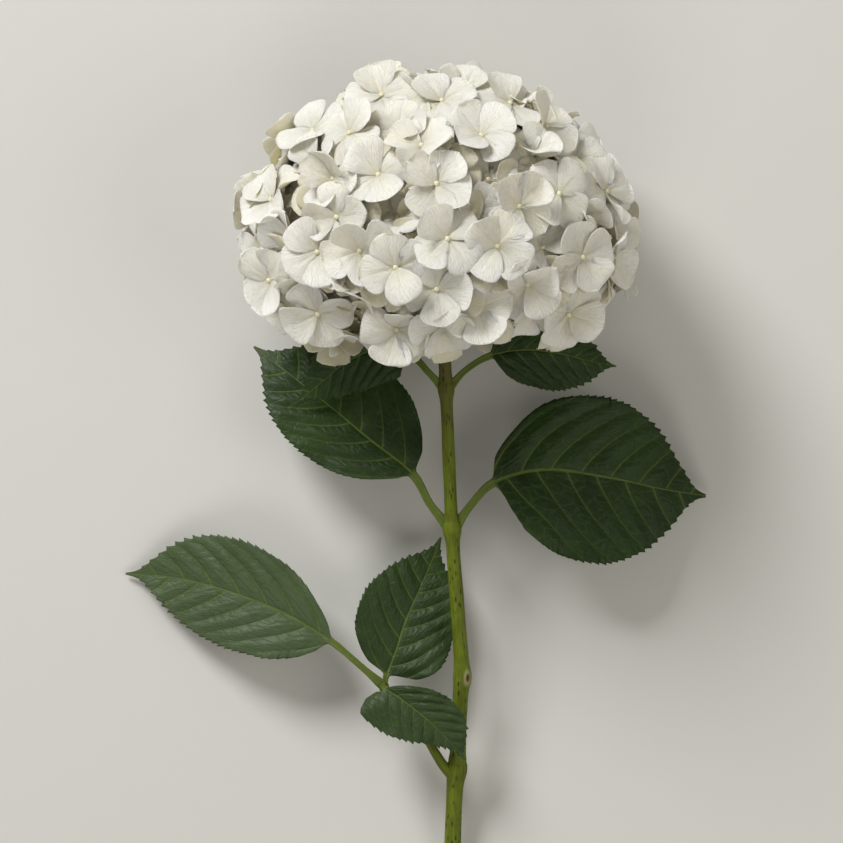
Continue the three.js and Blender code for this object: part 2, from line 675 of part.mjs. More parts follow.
// One floret with its neck and stalk down to the fork of its cyme.
function floretSolid(f, fork) {
  const vertices = [];
  const triangles = [];
  const half = FLORET.thickness / 2;
  const place = (sepal, local, height) => {
    const p = local.clone().multiplyScalar(f.length * sepal.grown);
    p.z += height;
    return p.applyQuaternion(sepal.turn).add(f.hub);
  };
  const tips = (s) => [
    sepalPoint(FLORET.shoulder, -1, f.cup, f.curl),
    sepalPoint(1, 0, f.cup, f.curl),
    sepalPoint(FLORET.shoulder, 1, f.cup, f.curl),
  ];
  const cleft = FLORET.notch * Math.SQRT1_2;
  const facing = vec(0, 0, 1).applyQuaternion(f.turn);
  // Upper and lower outline: for each sepal its first cleft, right shoulder, tip and left shoulder.
  for (const height of [half, -half]) {
    f.sepals.forEach((s, k) => {
      const before = f.sepals[(k + 3) % 4];
      const own = place(s, vec(cleft, -cleft, 0), height);
      const shared = mix(place(before, vec(cleft, cleft, 0), height), own, 0.5);
      vertices.push(shared, ...tips(s).map((local) => place(s, local, height)));
    });
  }
  // The middle of the floret lies level with its clefts.
  const seat = middle([0, 4, 8, 12, 16, 20, 24, 28].map((i) => vertices[i]));
  const centre = vertices.push(seat.clone().addScaledVector(facing, half + FLORET.bud)) - 1;
  for (let i = 0; i < 16; i++) {
    const j = (i + 1) % 16;
    triangles.push([centre, i, j], [i, i + 16, j + 16], [i, j + 16, j]);
  }
  for (let k = 0; k < 4; k++) {
    const [cleftA, right, tip, left] = [16, 17, 18, 19].map((i) => 4 * k + i);
    const cleftB = 16 + ((4 * k + 4) % 16);
    triangles.push([cleftA, tip, right], [cleftA, left, tip], [cleftA, cleftB, left]);
  }
  triangles.push([16, 24, 20], [16, 28, 24]);
  // A tapered neck under the middle, then a thin stalk.
  const waist = seat.clone().addScaledVector(facing, -FLORET.neck);
  const down = fork.clone().sub(waist).normalize();
  const up = facing.clone().cross(down).lengthSq() > 0.01 ? facing.clone().cross(down) : vec(1, 0.2, 0);
  const bend = mix(facing.clone().negate(), down, 0.5).normalize();
  const stalk = loft([
    ring(seat, facing.clone().negate(), FLORET.neckTop, 4, up),
    ring(waist, bend, FLORET.pedicel * 1.15, 4, up),
    ring(fork, down, FLORET.pedicel, 4, up),
  ]);
  return solidOf(vertices, triangles).add(solidOf(...stalk));
}

// ---------------------------------------------------------------- building it

const stem = { points: stemPoints, radii: stemRadii, sides: STEM_SIDES, slant: degrees(CUT_SLANT) };
const shoot = { points: shootPoints, radii: SHOOT.map((p) => p[3]), sides: 10, slant: 0 };
const stalkOf = ({ points, radii, sides, slant }, more = 0) =>
  stalkSolid(points, radii.map((r) => r + more), sides, slant);
const stemSolid = stalkOf(stem);
// What grows from a stalk ends just short of its skin.
const trimmed = (solid, stalk) => bodyOf(solid.subtract(stalkOf(stalk, GAP)));
const shootSolid = trimmed(stalkOf(shoot), stem);
const leafSolids = Object.entries(LEAVES).map(([name, leaf]) => {
  return [name, trimmed(leafSolid(leaf), leaf.joint === "shoot" ? shoot : stem)];
});

// Points of the leaves and the stem that the florets keep clear of.
function obstaclePoints() {
  const points = [];
  const lowest = -HEAD.drop - 2 * FLORET.sepal;
  const add = (solid) => {
    const fine = solid.refineToLength(0.9 * ROOM.apart).getMesh();
    for (let i = 0; i < fine.numVert; i++) {
      const p = vec(...fine.vertProperties.subarray(3 * i, 3 * i + 3));
      if (p.y > lowest) points.push(p);
    }
  };
  add(stemSolid);
  leafSolids.slice(0, 4).forEach(([, solid]) => add(solid));
  return points;
}

const crown = stemPoints.at(-1);
const florets = placeFlorets();
const cymes = groupsOf(florets.map((f) => f.anchor), CYME.count);
const forkOf = (members) => mix(crown, middle(members.map((i) => florets[i].hub)), CYME.fork);
const forks = cymes.map(forkOf);
const forkByFloret = florets.map((_, i) => forks[cymes.findIndex((members) => members.includes(i))]);
makeRoom(florets, forkByFloret, obstaclePoints());

// The rays of the head, from the crown of the stem to just short of each cyme's fork.
function branchesSolid() {
  const stemAlong = crown.clone().sub(stemPoints.at(-2)).normalize();
  const foot = crown.clone().addScaledVector(stemAlong, GAP);
  const knot = crown.clone().addScaledVector(stemAlong, 5);
  let joined = tube(foot, knot, BRANCH.crown - 0.3, BRANCH.crown - 0.6, 8);
  groupsOf(forks, BRANCH.count).forEach((members) => {
    const split = mix(knot, middle(members.map((i) => forks[i])), BRANCH.fork);
    joined = joined.add(tube(mix(foot, knot, 0.6), split, BRANCH.root, BRANCH.tip * 1.5, 5));
    joined = joined.add(ball(split, BRANCH.tip * 1.9));
    members.forEach((i) => {
      const along = forks[i].clone().sub(split).normalize();
      const end = forks[i].clone().addScaledVector(along, -CYME.ball - GAP);
      joined = joined.add(tube(split, end, BRANCH.tip * 1.25, BRANCH.tip, 4));
    });
  });
  return bodyOf(joined);
}

const lowerSolids = [stemSolid, ...leafSolids.map(([, solid]) => solid)];
const branches = besideOthers(branchesSolid(), lowerSolids);
const cymeSolids = [];
cymes.forEach((members, c) => {
  const fork = ball(forks[c], CYME.ball);
  const joined = members.reduce((solid, i) => solid.add(floretSolid(florets[i], forks[c])), fork);
  cymeSolids.push(besideOthers(bodyOf(joined), [...lowerSolids, branches, ...cymeSolids]));
});

// ---------------------------------------------------------------- the scene graph

const MATERIALS = {
  stem: new THREE.MeshStandardMaterial({ color: 0x7f8f3c, roughness: 0.6, metalness: 0 }),
  leaf: new THREE.MeshStandardMaterial({ color: 0x34502a, roughness: 0.5, metalness: 0 }),
  floret: new THREE.MeshStandardMaterial({ color: 0xf1eee0, roughness: 0.7, metalness: 0 }),
};

const root = new THREE.Group();
function addPiece(name, solid, material) {
  const mesh = new THREE.Mesh(geometryOf(solid), MATERIALS[material]);
  mesh.name = name;
  root.add(mesh);
}

addPiece("main_stem", stemSolid, "stem");
addPiece("side_shoot", shootSolid, "stem");
leafSolids.forEach(([name, solid]) => addPiece(name, solid, "leaf"));
addPiece("flower_branches", branches, "stem");
cymeSolids.forEach((solid, i) => addPiece(`cyme_${String(i + 1).padStart(2, "0")}`, solid, "floret"));

// The origin goes under the middle of the whole flower, on the surface.
const box = new THREE.Box3().setFromObject(root);
const centre = box.getCenter(vec(0, 0, 0));
root.position.set(-centre.x, -centre.y, -box.min.z);

export default root;
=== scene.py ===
"""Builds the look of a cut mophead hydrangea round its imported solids.

Every floret is found in the solids of its cyme, and gets four thin veined sepals, a closed bud and a curved
stalk, with three younger florets beside and below it. The branches, the stem, the side shoot and the seven
toothed leaves are new skins on the solids' own middle lines. Lengths in the tables are millimetres, unless a
comment says metres, and everything handed to Blender is metres.
"""

import math

import bpy
import numpy as np
from bpy.props import FloatProperty, FloatVectorProperty, IntProperty, PointerProperty
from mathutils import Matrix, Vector


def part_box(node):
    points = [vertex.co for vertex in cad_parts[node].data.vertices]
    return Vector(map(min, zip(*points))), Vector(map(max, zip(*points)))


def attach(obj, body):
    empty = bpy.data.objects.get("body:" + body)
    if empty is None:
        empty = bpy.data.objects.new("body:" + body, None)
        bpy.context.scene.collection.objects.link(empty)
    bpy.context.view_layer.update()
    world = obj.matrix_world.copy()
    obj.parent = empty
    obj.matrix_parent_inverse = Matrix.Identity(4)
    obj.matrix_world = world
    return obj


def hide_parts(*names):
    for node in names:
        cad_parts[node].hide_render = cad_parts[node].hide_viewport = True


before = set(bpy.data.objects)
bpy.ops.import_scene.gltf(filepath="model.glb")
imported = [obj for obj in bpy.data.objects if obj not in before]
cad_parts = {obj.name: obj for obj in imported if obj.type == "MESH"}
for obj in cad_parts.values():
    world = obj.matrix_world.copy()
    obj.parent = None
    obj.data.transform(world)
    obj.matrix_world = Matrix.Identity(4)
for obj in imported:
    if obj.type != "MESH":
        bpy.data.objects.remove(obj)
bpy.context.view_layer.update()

bl_info = {
    "name": "Cut hydrangea",
    "version": (1, 0, 0),
    "blender": (4, 5, 0),
    "location": "View3D > Sidebar > Hydrangea",
    "description": "Grows sepals, leaves and stems over the solids of a cut hydrangea",
    "category": "Object",
}

MM = 0.001
UP = np.array([0.0, 0.0, 1.0])
# A direction that no stalk, branch or floret follows, to turn their rings and faces by.
ODD_WAY = np.array([0.31, 0.52, 0.79])

# ------------------------------------------------------------------ sizes and places

# Below this height, whatever lies on the surface is pressed towards it and never passes it.
PRESSED = 1.2

# The stem as x, y, radius, from its cut end to the head. Its height rises evenly along it.
STEM = np.array([
    [7, -325, 4.3], [7.6, -300, 4.2], [8.6, -272, 4.2], [9.6, -262, 4.9], [10.2, -252, 4.1],
    [11.6, -222, 4.0], [12.4, -215, 4.7], [12, -207, 3.9], [9.5, -175, 3.6], [7.4, -147, 3.6],
    [7, -140, 4.4], [6.6, -132, 3.4], [5.4, -105, 3.2], [4.2, -76, 3.2], [4, -70, 3.8],
    [3.7, -63, 3.2], [3, -50, 3.4], [2.6, -43, 4.2],
])
STEM_TOP = 63
STEM_END = 4.6
STEM_SIDES = 12
CUT_SLANT = math.radians(35)
# Joints of the stem, from which leaves or the side shoot grow: the place of each in STEM.
JOINTS = {"upper": 14, "middle": 10, "lower": 3}
# The side shoot as x, y, z, radius, measured from the lower joint.
SHOOT = np.array([
    [-1, -4, -0.6, 2.9], [-6, 1.5, 1.4, 2.6], [-9.6, 7, 3.4, 2.4], [-15.6, 17, 5.4, 2.1],
    [-25.6, 31, 7.4, 2], [-34.6, 40, 8.9, 2.2], [-38.6, 44, 9.4, 2.6],
])
# Leaves: the route of the midrib from the joint, or from the end of the side shoot, how many of its points
# are petiole, the blade's half widths seen from the foot, how late each half is widest, how far the right
# half of some reaches back past the foot, the petiole's radius, the blade's roll and fold in degrees, the
# teeth along one edge, and how much of the lighter green of a younger leaf it takes, which is partly
# painted sheen.
LEAVES = {
    "leaf_upper_left": dict(
        joint="upper",
        route=[[-1, 0.5, 0], [-9, 9, 2.6], [-17, 17, 0.6], [-31, 21, -3.4], [-48, 15, -8.4],
               [-61, 5, -14.4], [-76, -7, -20.4]],
        petiole=3, left=17, right=17, late=(0.85, 1), stalk=1.7, roll=-8, fold=10, teeth=20,
        youth_and_sheen=0.04,
    ),
    "leaf_upper_right": dict(
        joint="upper",
        route=[[1, 0.5, 0], [10, 10, 1.6], [22, 17, -0.4], [40, 20, -4.4], [58, 18, -9.4],
               [72, 14.5, -14.4], [85.5, 12, -20.4]],
        petiole=3, left=17, right=18.5, late=(1, 1.1), stalk=1.6, roll=6, fold=10, teeth=20,
        youth_and_sheen=0,
    ),
    "leaf_middle_left": dict(
        joint="middle",
        route=[[-1, 0.5, 0.6], [-11, 13, 0], [-19, 27, -2], [-41, 45, -7], [-64, 64, -13],
               [-83, 79, -19], [-100, 92, -27]],
        petiole=3, left=27, right=32, late=(1.25, 1.05), stalk=2, roll=8, fold=8, teeth=30,
        youth_and_sheen=0.08,
    ),
    "leaf_middle_right": dict(
        joint="middle",
        route=[[1, 0.5, 0.6], [10, 13, 1], [20, 23, 0], [45, 30, -4], [79, 26, -13],
               [107, 20, -24.5], [129, 16.5, -39]],
        petiole=3, left=39, right=44, late=(1.15, 1.05), stalk=2, roll=-6, fold=6, teeth=32,
        youth_and_sheen=0,
    ),
    "leaf_shoot_left": dict(
        joint="shoot",
        route=[[1, -0.5, 0], [-12, 11, 3], [-24, 21, 2], [-45, 34, 0], [-72, 45, -6],
               [-103, 53, -16.5], [-129.5, 55, -24.5]],
        petiole=3, left=27, right=26.5, late=(1.1, 1.35), stalk=1.6, roll=-6, fold=7, teeth=28,
        # Much of this leaf's paler grey-green is painted sheen.
        youth_and_sheen=0.7,
    ),
    "leaf_shoot_upright": dict(
        joint="shoot",
        route=[[2, -0.5, -1], [3, 4, -3.5], [8, 17, -3.5], [12.5, 31, -5], [20, 48, -7],
               [26, 62, -10], [30.5, 73.5, -14]],
        petiole=2, left=25, right=25.5, late=(0.95, 0.8), stalk=1.5, roll=5, fold=8, teeth=24,
        youth_and_sheen=0.12,
    ),
    "leaf_shoot_right": dict(
        joint="shoot",
        route=[[1, -0.5, 0.5], [2.5, -2, 6.5], [9, -6, 9], [17, -12, 10], [25.5, -19, 9.5],
               [34, -27.5, 7], [42.5, -38, 2]],
        petiole=2, left=15, right=19, late=(1.4, 0.5), lobe=9, stalk=1.4, roll=4, fold=12, teeth=18,
        youth_and_sheen=0.25,
    ),
}
# A blade's half width along it, as shares of its length and of its widest half.
BLADE_OUTLINE = np.array([
    [0, 0.07], [0.04, 0.36], [0.12, 0.68], [0.24, 0.92], [0.38, 1], [0.52, 0.97], [0.66, 0.79],
    [0.77, 0.53], [0.85, 0.29], [0.9, 0.14], [0.94, 0.07], [0.97, 0.04], [1, 0.02],
])
# How far a blade's sections lie across the straight line from its foot to its tip.
BLADE_SQUARE = 0.6
# Side veins of each half, if they started along the whole midrib.
VEINS = 7.6
# Stations of one tooth, as shares of its length, and how far its edge has risen at each.
TOOTH_STEPS = np.array([0, 0.2, 0.4, 0.6, 0.78, 0.9])
TOOTH_RISE = np.array([0, 0.14, 0.36, 0.66, 1.0, 0.42])
# The old leaf scar: its height on the stem, the share of the way round, and its half length and half width.
SCAR = dict(y=-214, turn=0.34, length=5, width=0.085)
# The cut end's inner rings, as shares of its outline.
CUT_RINGS = np.array([0.06, 0.25, 0.42, 0.6, 0.8, 0.94])[:, None, None]
# The solid florets: how far their top stands above the clefts, the fewest corners round it, the furthest that
# a cleft can be, and the least that a sepal's tip can.
FLORET_TOP = 1.3
RING_LEAST = 13
CLEFT_MOST = 7
TIP_LEAST = 9
# How far out each cyme and each main branch forks, as shares of its reach, and how many main branches.
CYME_FORK = 0.58
BRANCH_FORK = 0.42
BRANCH_COUNT = 8
# How far florets stray from their solids, in degrees: the lean of the whole, and of a sepal the mean and the
# spread of its lift, the extra lift of a steep one, and its roll.
LEAN = 7
LIFT = (4, 7)
STEEP = (22, 50)
ROLL = 8
# The younger florets under each one: how far below, how far beside, their sepals' length, and a sepal's grid.
UNDER_DEPTHS = (6.5, 9, 7.5)
UNDER_BESIDE = (9, 12)
UNDER_LENGTH = (13, 15.5)
UNDER_STEPS = (9, 11)
# The stage, in metres: the floor's half width, the camera's sensor, the sky's tint and strength, and each
# light's place from the middle of the view, width, watts and tint. VIEW_CENTRE is in millimetres.
FLOOR_REACH = 4.0
SENSOR = 0.036
SKY = ((1.0, 0.955, 0.87), 0.27)
LIGHTS = {
    "key": ((-1.28, 1.84, 1.64), 1.1, 70.0, (1.0, 0.99, 0.97)),
    "fill": ((2.1, -0.5, 2.2), 2.0, 18.0, (1.0, 0.955, 0.86)),
    "front": ((-0.5, -2.0, 2.2), 1.6, 15.0, (1.0, 0.965, 0.89)),
}
VIEW_CENTRE = np.array([-8.25, -85.75, 50.0])

# ------------------------------------------------------------------ lines and rings


def unit(vectors):
    """The vectors at length 1, along their last axis."""
    return vectors / np.maximum(np.linalg.norm(vectors, axis=-1, keepdims=True), 1e-12)


def ramp(low, high, value):
    """0 below low, 1 above high, and a smooth cubic rise between them."""
    share = np.clip((value - low) / (high - low), 0, 1)
    return share * share * (3 - 2 * share)


def cross_frames(along, up=UP):
    """For directions along a path, the one to its right, square to `up`, and the one that completes them."""
    side = unit(np.cross(along, up))
    return side, np.cross(side, along)


def run_lengths(points, power=1.0):
    """How far along a line each of its points lies, where each step counts as its length to a power."""
    steps = np.linalg.norm(np.diff(points[:, :3], axis=0), axis=1) ** power
    return np.concatenate([[0], np.cumsum(steps)])


def tube_rings(points, along, radii, around, up=UP):
    """Rings of `around` points round a path, from its left over the top to its right and back underneath."""
    side, lift = cross_frames(along, up)
    turn = 2 * np.pi * np.arange(around)[:, None] / around
    radii = np.broadcast_to(radii, (len(points), around))[..., None]
    return points[:, None] + radii * (lift[:, None] * np.sin(turn) - side[:, None] * np.cos(turn))


def tube_uvs(points, around):
    """Millimetres along a tube, and the share of the way round it."""
    turn = np.arange(around) / around
    return np.stack(np.broadcast_arrays(run_lengths(points)[:, None], turn), axis=-1)


def bent_tube(start, knee, end, t, radii, around):
    """A path at steps t that leaves its start towards a knee and comes to its end from it, as a quadratic
    Bezier curve does, and the rings round it."""
    path = (1 - t) ** 2 * start + 2 * t * (1 - t) * knee + t ** 2 * end
    along = unit(np.gradient(path, axis=0))
    return path, tube_rings(path, along, radii, around, np.cross(along[0], ODD_WAY))


def stem_line():
    """The stem's points and radii in millimetres, before the solids were moved over their origin."""
    low, high = STEM[0, 1], STEM[-1, 1]
    height = STEM_END + (STEM_TOP - STEM_END) * (STEM[:, 1] - low) / (high - low)
    return np.column_stack([STEM[:, :2], height, STEM[:, 2]])


def joint_point(joint):
    """The middle of the joint that a leaf grows from."""
    if joint == "shoot":
        return joint_point("lower") + SHOOT[-1, :3]
    return stem_line()[JOINTS[joint], :3]


def origin_shift():
    """How far the solids were moved to stand over their origin: the top corner of the stem's solid, less that
    of its rings worked out here in the same way."""
    line = stem_line()
    ring = np.arange(len(line))
    along = unit(line[np.minimum(ring + 1, len(line) - 1), :3] - line[np.maximum(ring - 1, 0), :3])
    rings = tube_rings(line[:, :3], along, line[:, 3:], STEM_SIDES)
    return np.array(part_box("main_stem")[1]) / MM - rings.reshape(-1, 3).max(axis=0)


SHIFT = origin_shift()


def smooth_path(points, count):
    """A centripetal Catmull-Rom curve through the points, as `count` even steps of its parameter. Between two
    points it blends three straight runs, each timed by the square root of the distance between its ends."""
    points = np.asarray(points, float)
    ends = np.vstack([2 * points[0] - points[1], points, 2 * points[-1] - points[-2]])
    times = run_lengths(ends, 0.5)
    where = np.linspace(0, len(points) - 1, count)
    span = np.minimum(where.astype(int), len(points) - 2)
    t = (times[span + 1] + (where - span) * (times[span + 2] - times[span + 1]))[:, None]
    p = [ends[span + k] for k in range(4)]
    at = [times[span + k][:, None] for k in range(4)]
    a = [((at[k + 1] - t) * p[k] + (t - at[k]) * p[k + 1]) / (at[k + 1] - at[k]) for k in range(3)]
    b = [((at[k + 2] - t) * a[k] + (t - at[k]) * a[k + 1]) / (at[k + 2] - at[k]) for k in range(2)]
    return ((at[2] - t) * b[0] + (t - at[1]) * b[1]) / (at[2] - at[1])


def along_path(path, shares):
    """Points and directions at shares of a path's length."""
    length = run_lengths(path)
    at = shares * length[-1]
    points = np.column_stack([np.interp(at, length, column) for column in path.T])
    slope = np.gradient(path[:, :3], axis=0)
    directions = unit(np.column_stack([np.interp(at, length, column) for column in slope.T]))
    return points, directions


# ------------------------------------------------------------------ meshes


def sleeve_quads(rings, around):
    """Quads of a closed skin of rings, each with an even number of points: the sides, and at each end a strip
    that joins the ring's first half to its second."""
    i = np.arange(around)
    base = (np.arange(rings - 1) * around)[:, None]
    j = (i + 1) % around
    sides = np.stack([base + i, base + j, base + j + around, base + i + around], axis=-1).reshape(-1, 4)
    k = np.arange(around // 2 - 1)
    last = (rings - 1) * around
    foot = np.stack([k + 1, k, around - 1 - k, around - 2 - k], axis=-1)
    head = last + np.stack([k, k + 1, around - 2 - k, around - 1 - k], axis=-1)
    return np.vstack([sides, foot, head])


class Skin:
    """Collects sleeves, each an array of rings of points with its UVs and tones, and makes one mesh of
    them."""

    def __init__(self):
        self.points, self.quads, self.uvs, self.tones, self.materials = [], [], [], [], []
        self.count = 0

    def add(self, rings, uvs, tones, material=0):
        """rings is (..., ring, point, 3). uvs and tones are (..., ring, point, 2 and 3)."""
        rings_count, around = rings.shape[-3:-1]
        sleeves = rings.reshape(-1, rings_count * around, 3)
        one = sleeve_quads(rings_count, around)
        starts = self.count + np.arange(len(sleeves)) * rings_count * around
        self.quads.append((starts[:, None, None] + one).reshape(-1, 4))
        self.points.append(sleeves.reshape(-1, 3))
        self.uvs.append(np.broadcast_to(uvs, rings.shape[:-1] + (2,)).reshape(-1, 2))
        self.tones.append(np.broadcast_to(tones, rings.shape[:-1] + (3,)).reshape(-1, 3))
        self.materials.append(np.full(len(sleeves) * len(one), material))
        self.count += len(sleeves) * rings_count * around

    def make(self, name, materials):
        """The finished object. Points are millimetres before the solids' shift."""
        points = np.vstack(self.points) + SHIFT
        low = points[:, 2] < PRESSED
        points[low, 2] = PRESSED * np.exp(points[low, 2] / PRESSED - 1)
        quads = np.vstack(self.quads)
        mesh = bpy.data.meshes.new(name)
        mesh.vertices.add(len(points))
        mesh.vertices.foreach_set("co", (points * MM).ravel())
        mesh.loops.add(quads.size)
        mesh.loops.foreach_set("vertex_index", quads.ravel())
        mesh.polygons.add(len(quads))
        mesh.polygons.foreach_set("loop_start", np.arange(0, quads.size, 4))
        mesh.polygons.foreach_set("material_index", np.concatenate(self.materials))
        mesh.update(calc_edges=True)
        mesh.shade_smooth()
        uv = mesh.uv_layers.new(name="surface")
        uv.uv.foreach_set("vector", np.vstack(self.uvs)[quads.ravel()].ravel())
        tone = mesh.attributes.new("tone", "FLOAT_COLOR", "POINT")
        colours = np.column_stack([np.vstack(self.tones), np.ones(len(points))])
        tone.data.foreach_set("color", colours.ravel())
        for material in materials:
            mesh.materials.append(material)
        made = bpy.data.objects.new(name, mesh)
        bpy.context.collection.objects.link(made)
        return made


def finish_piece(piece, slot, *nodes):
    """The piece rides on the one body and stands for its solids. Its slot is not used."""
    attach(piece, "root")
    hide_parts(*nodes)


# ------------------------------------------------------------------ materials


class Value:
    """A number that varies over a surface, with the arithmetic of its Math nodes."""

    def __init__(self, surface, socket):
        self.surface = surface
        self.socket = socket

    def maths(self, operation, *values):
        """A Math node on these values."""
        return self.surface.node("Math", {"operation": operation}, dict(enumerate(values)))

    def __add__(self, other):
        return self.maths("ADD", self, other)

    def __sub__(self, other):
        return self.maths("SUBTRACT", self, other)

    def __rsub__(self, other):
        return self.maths("SUBTRACT", other, self)

    def __mul__(self, other):
        return self.maths("MULTIPLY", self, other)

    def __truediv__(self, other):
        return self.maths("DIVIDE", self, other)

    def __abs__(self):
        return self.maths("ABSOLUTE", self)

    __radd__ = __add__
    __rmul__ = __mul__

    def to_nearest_whole(self):
        """The distance to the nearest whole number."""
        return abs(self - self.maths("ROUND", self))

    def between(self, low, high):
        """A smooth rise from 0 at low to 1 at high, or a fall where low is above high."""
        ends = {1: min(low, high), 2: max(low, high), 3: float(low > high), 4: float(low < high)}
        return self.surface.node("MapRange", {"interpolation_type": "SMOOTHSTEP"}, {0: self, **ends})


class Surface:
    """A material being made: one Principled shader, set by constants, and the nodes that feed it."""

    def __init__(self, name, **constants):
        self.material = bpy.data.materials.new(name)
        self.material.use_nodes = True
        self.tree = self.material.node_tree
        self.tree.nodes.clear()
        self.shader = self.tree.nodes.new("ShaderNodeBsdfPrincipled")
        output = self.tree.nodes.new("ShaderNodeOutputMaterial")
        self.tree.links.new(self.shader.outputs[0], output.inputs[0])
        for socket, value in constants.items():
            self.shader.inputs[socket.replace("_", " ")].default_value = value

    def node(self, kind, settings=None, inputs=None, output=0):
        """One node of a kind, its settings first, then values or links for its sockets."""
        made = self.tree.nodes.new("ShaderNode" + kind)
        for name, value in (settings or {}).items():
            setattr(made, name, value)
        for key, value in (inputs or {}).items():
            self.feed(made.inputs[key], value)
        return Value(self, made.outputs[output])

    def feed(self, socket, value):
        """Link a varying value to a socket, or set a constant on it."""
        if isinstance(value, Value):
            self.tree.links.new(value.socket, socket)
        else:
            socket.default_value = value

    def mix(self, share, first, second):
        """A colour between two colours."""
        return self.node("Mix", {"data_type": "RGBA"}, {0: share, 6: first, 7: second}, output=2)

    def layers(self, body, *coats):
        """A colour with coats laid over it in turn, each with the share of it that covers."""
        for share, coat in coats:
            body = self.mix(share, body, coat)
        return body

    def place(self):
        """Object coordinates."""
        return self.node("TexCoord", output=3)

    def across(self):
        """The piece's own UV map, as its two numbers."""
        uv = self.node("UVMap", {"uv_map": "surface"})
        return [self.node("SeparateXYZ", {}, {0: uv}, output=k) for k in (0, 1)]

    def tone(self):
        """The three numbers that a piece stores for each of its points."""
        stored = self.node("Attribute", {"attribute_name": "tone"})
        return [self.node("SeparateColor", {}, {0: stored}, output=k) for k in (0, 1, 2)]

    def noise(self, scale, detail, where=None):
        """Cloudy noise from 0 to 1."""
        inputs = {"Vector": where or self.place(), "Scale": scale, "Detail": detail, "Roughness": 0.55}
        return self.node("TexNoise", {}, inputs)

    def network(self, scale, where=None, stray=1.0):
        """Distance to the nearest wall between scattered cells."""
        inputs = {"Vector": where or self.place(), "Scale": scale, "Randomness": stray}
        return self.node("TexVoronoi", {"feature": "DISTANCE_TO_EDGE"}, inputs)

    def vector(self, x, y, z=0.0):
        return self.node("CombineXYZ", {}, {0: x, 1: y, 2: z})

    def bump(self, height, distance, strength):
        """A normal from a height of 0 to 1, `distance` metres deep."""
        return self.node("Bump", {}, {"Height": height, "Distance": distance, "Strength": strength})

    def paint(self, **sockets):
        """Feed the shader, and return the finished material."""
        for socket, value in sockets.items():
            self.feed(self.shader.inputs[socket.replace("_", " ")], value)
        return self.material


def colour(red, green, blue):
    """An opaque colour, for a socket or a setting."""
    return (red, green, blue, 1.0)


SEPAL_VEIN = colour(0.66, 0.62, 0.47)
SEPAL_MIDDLE = colour(0.64, 0.60, 0.44)
BUD_SHADE = colour(0.74, 0.69, 0.42)
STALK_DEEP = colour(0.24, 0.31, 0.09)
STALK_MOTTLE = colour(0.42, 0.47, 0.19)
LEAF_STREAK = colour(0.026, 0.046, 0.010)
LEAF_NET = colour(0.045, 0.080, 0.016)
LEAF_BESIDE_VEIN = colour(0.035, 0.065, 0.014)
LEAF_BACK = colour(0.085, 0.125, 0.05)
LEAF_BACK_VEIN = colour(0.22, 0.27, 0.10)
PETIOLE = colour(0.07, 0.105, 0.015)
PETIOLE_STREAK = colour(0.13, 0.17, 0.03)
STEM_PATCH = colour(0.070, 0.082, 0.008)
PORE = colour(0.035, 0.024, 0.010)
SCAR_RIM = colour(0.27, 0.26, 0.12)
SCAR_HEART = colour(0.10, 0.035, 0.02)
PITH = colour(0.75, 0.76, 0.66)
WOOD = colour(0.42, 0.46, 0.22)


def vein_line(along, across, right):
    """A count that is whole on each side vein of a blade: the share along the midrib at which a vein through
    this place starts, over the veins' spacing. A vein runs forward more the further it gets from the midrib,
    and those of the right half start half a space later. It works on arrays and on shader values."""
    away = abs(across)
    return (along - away * 0.17 - away * away * 0.20) * VEINS + right * 0.5


def sepal_material(settings):
    """Cream sepals: a fan of fine veins, whiter rims, a yellow-green claw that is partly painted shade in
    each floret's middle, a faint tint of each one's own, and painted shade: a yellower cream deep inside the
    head."""
    face = Surface(
        "sepal_cream", Roughness=0.55, Subsurface_Weight=settings.glow, Subsurface_Radius=(1.0, 0.86, 0.55),
        Subsurface_Scale=0.0014, Specular_IOR_Level=0.25,
    )
    along, across = face.across()
    own, deep, _ = face.tone()
    angle = across.maths("ARCTAN2", across, along + 0.04)
    reach = face.node("VectorMath", {"operation": "LENGTH"}, {0: face.vector(along, across)}, output=1)
    fan = face.vector(reach * 1.5, angle * 7.5, own * 37)
    veins = face.network(2.1, fan, 0.9).between(0.10, 0.0)
    fine = face.network(4.6, fan, 1.0).between(0.10, 0.0)
    middle = abs(angle).between(0.05, 0.0) * reach.between(0.95, 0.2)
    mottle = face.noise(190, 3)
    # The claw's share: partly the sepal's own yellow-green foot, partly painted shade spread towards the
    # floret's middle.
    claw = reach.between(0.75, 0.02) * 0.35 + reach.between(0.3, 0.02) * 0.3
    body = face.layers(
        settings.cream,
        (own * 0.5, settings.warm),
        (mottle.between(0.35, 0.8) * 0.25, settings.warm),
        (veins * 0.32 + fine * 0.16, SEPAL_VEIN),
        (middle * 0.25, SEPAL_MIDDLE),
        # Painted shade: sepals lying deeper below the floret in front turn towards the shaded cream.
        (deep * 0.75, settings.shade),
        # Partly the foot's own yellow-green, partly painted shade where the sepals meet in the floret's
        # middle.
        (claw, settings.claw),
    )
    height = veins * -0.7 + fine * -0.25 + middle * -0.8 + mottle * 0.25
    return face.paint(Base_Color=body, Roughness=0.5 + mottle * 0.16, Normal=face.bump(height, 0.0003, 0.85))


def bud_material(settings):
    """The closed bud in the middle of a floret, waxy and pale yellow-green."""
    face = Surface("floret_bud", Subsurface_Weight=0.2, Subsurface_Scale=0.001, Specular_IOR_Level=0.45)
    mottle = face.noise(900, 2)
    body = face.mix(mottle, settings.bud, BUD_SHADE)
    return face.paint(Base_Color=body, Roughness=0.38 + mottle * 0.15, Normal=face.bump(mottle, 0.0001, 0.4))


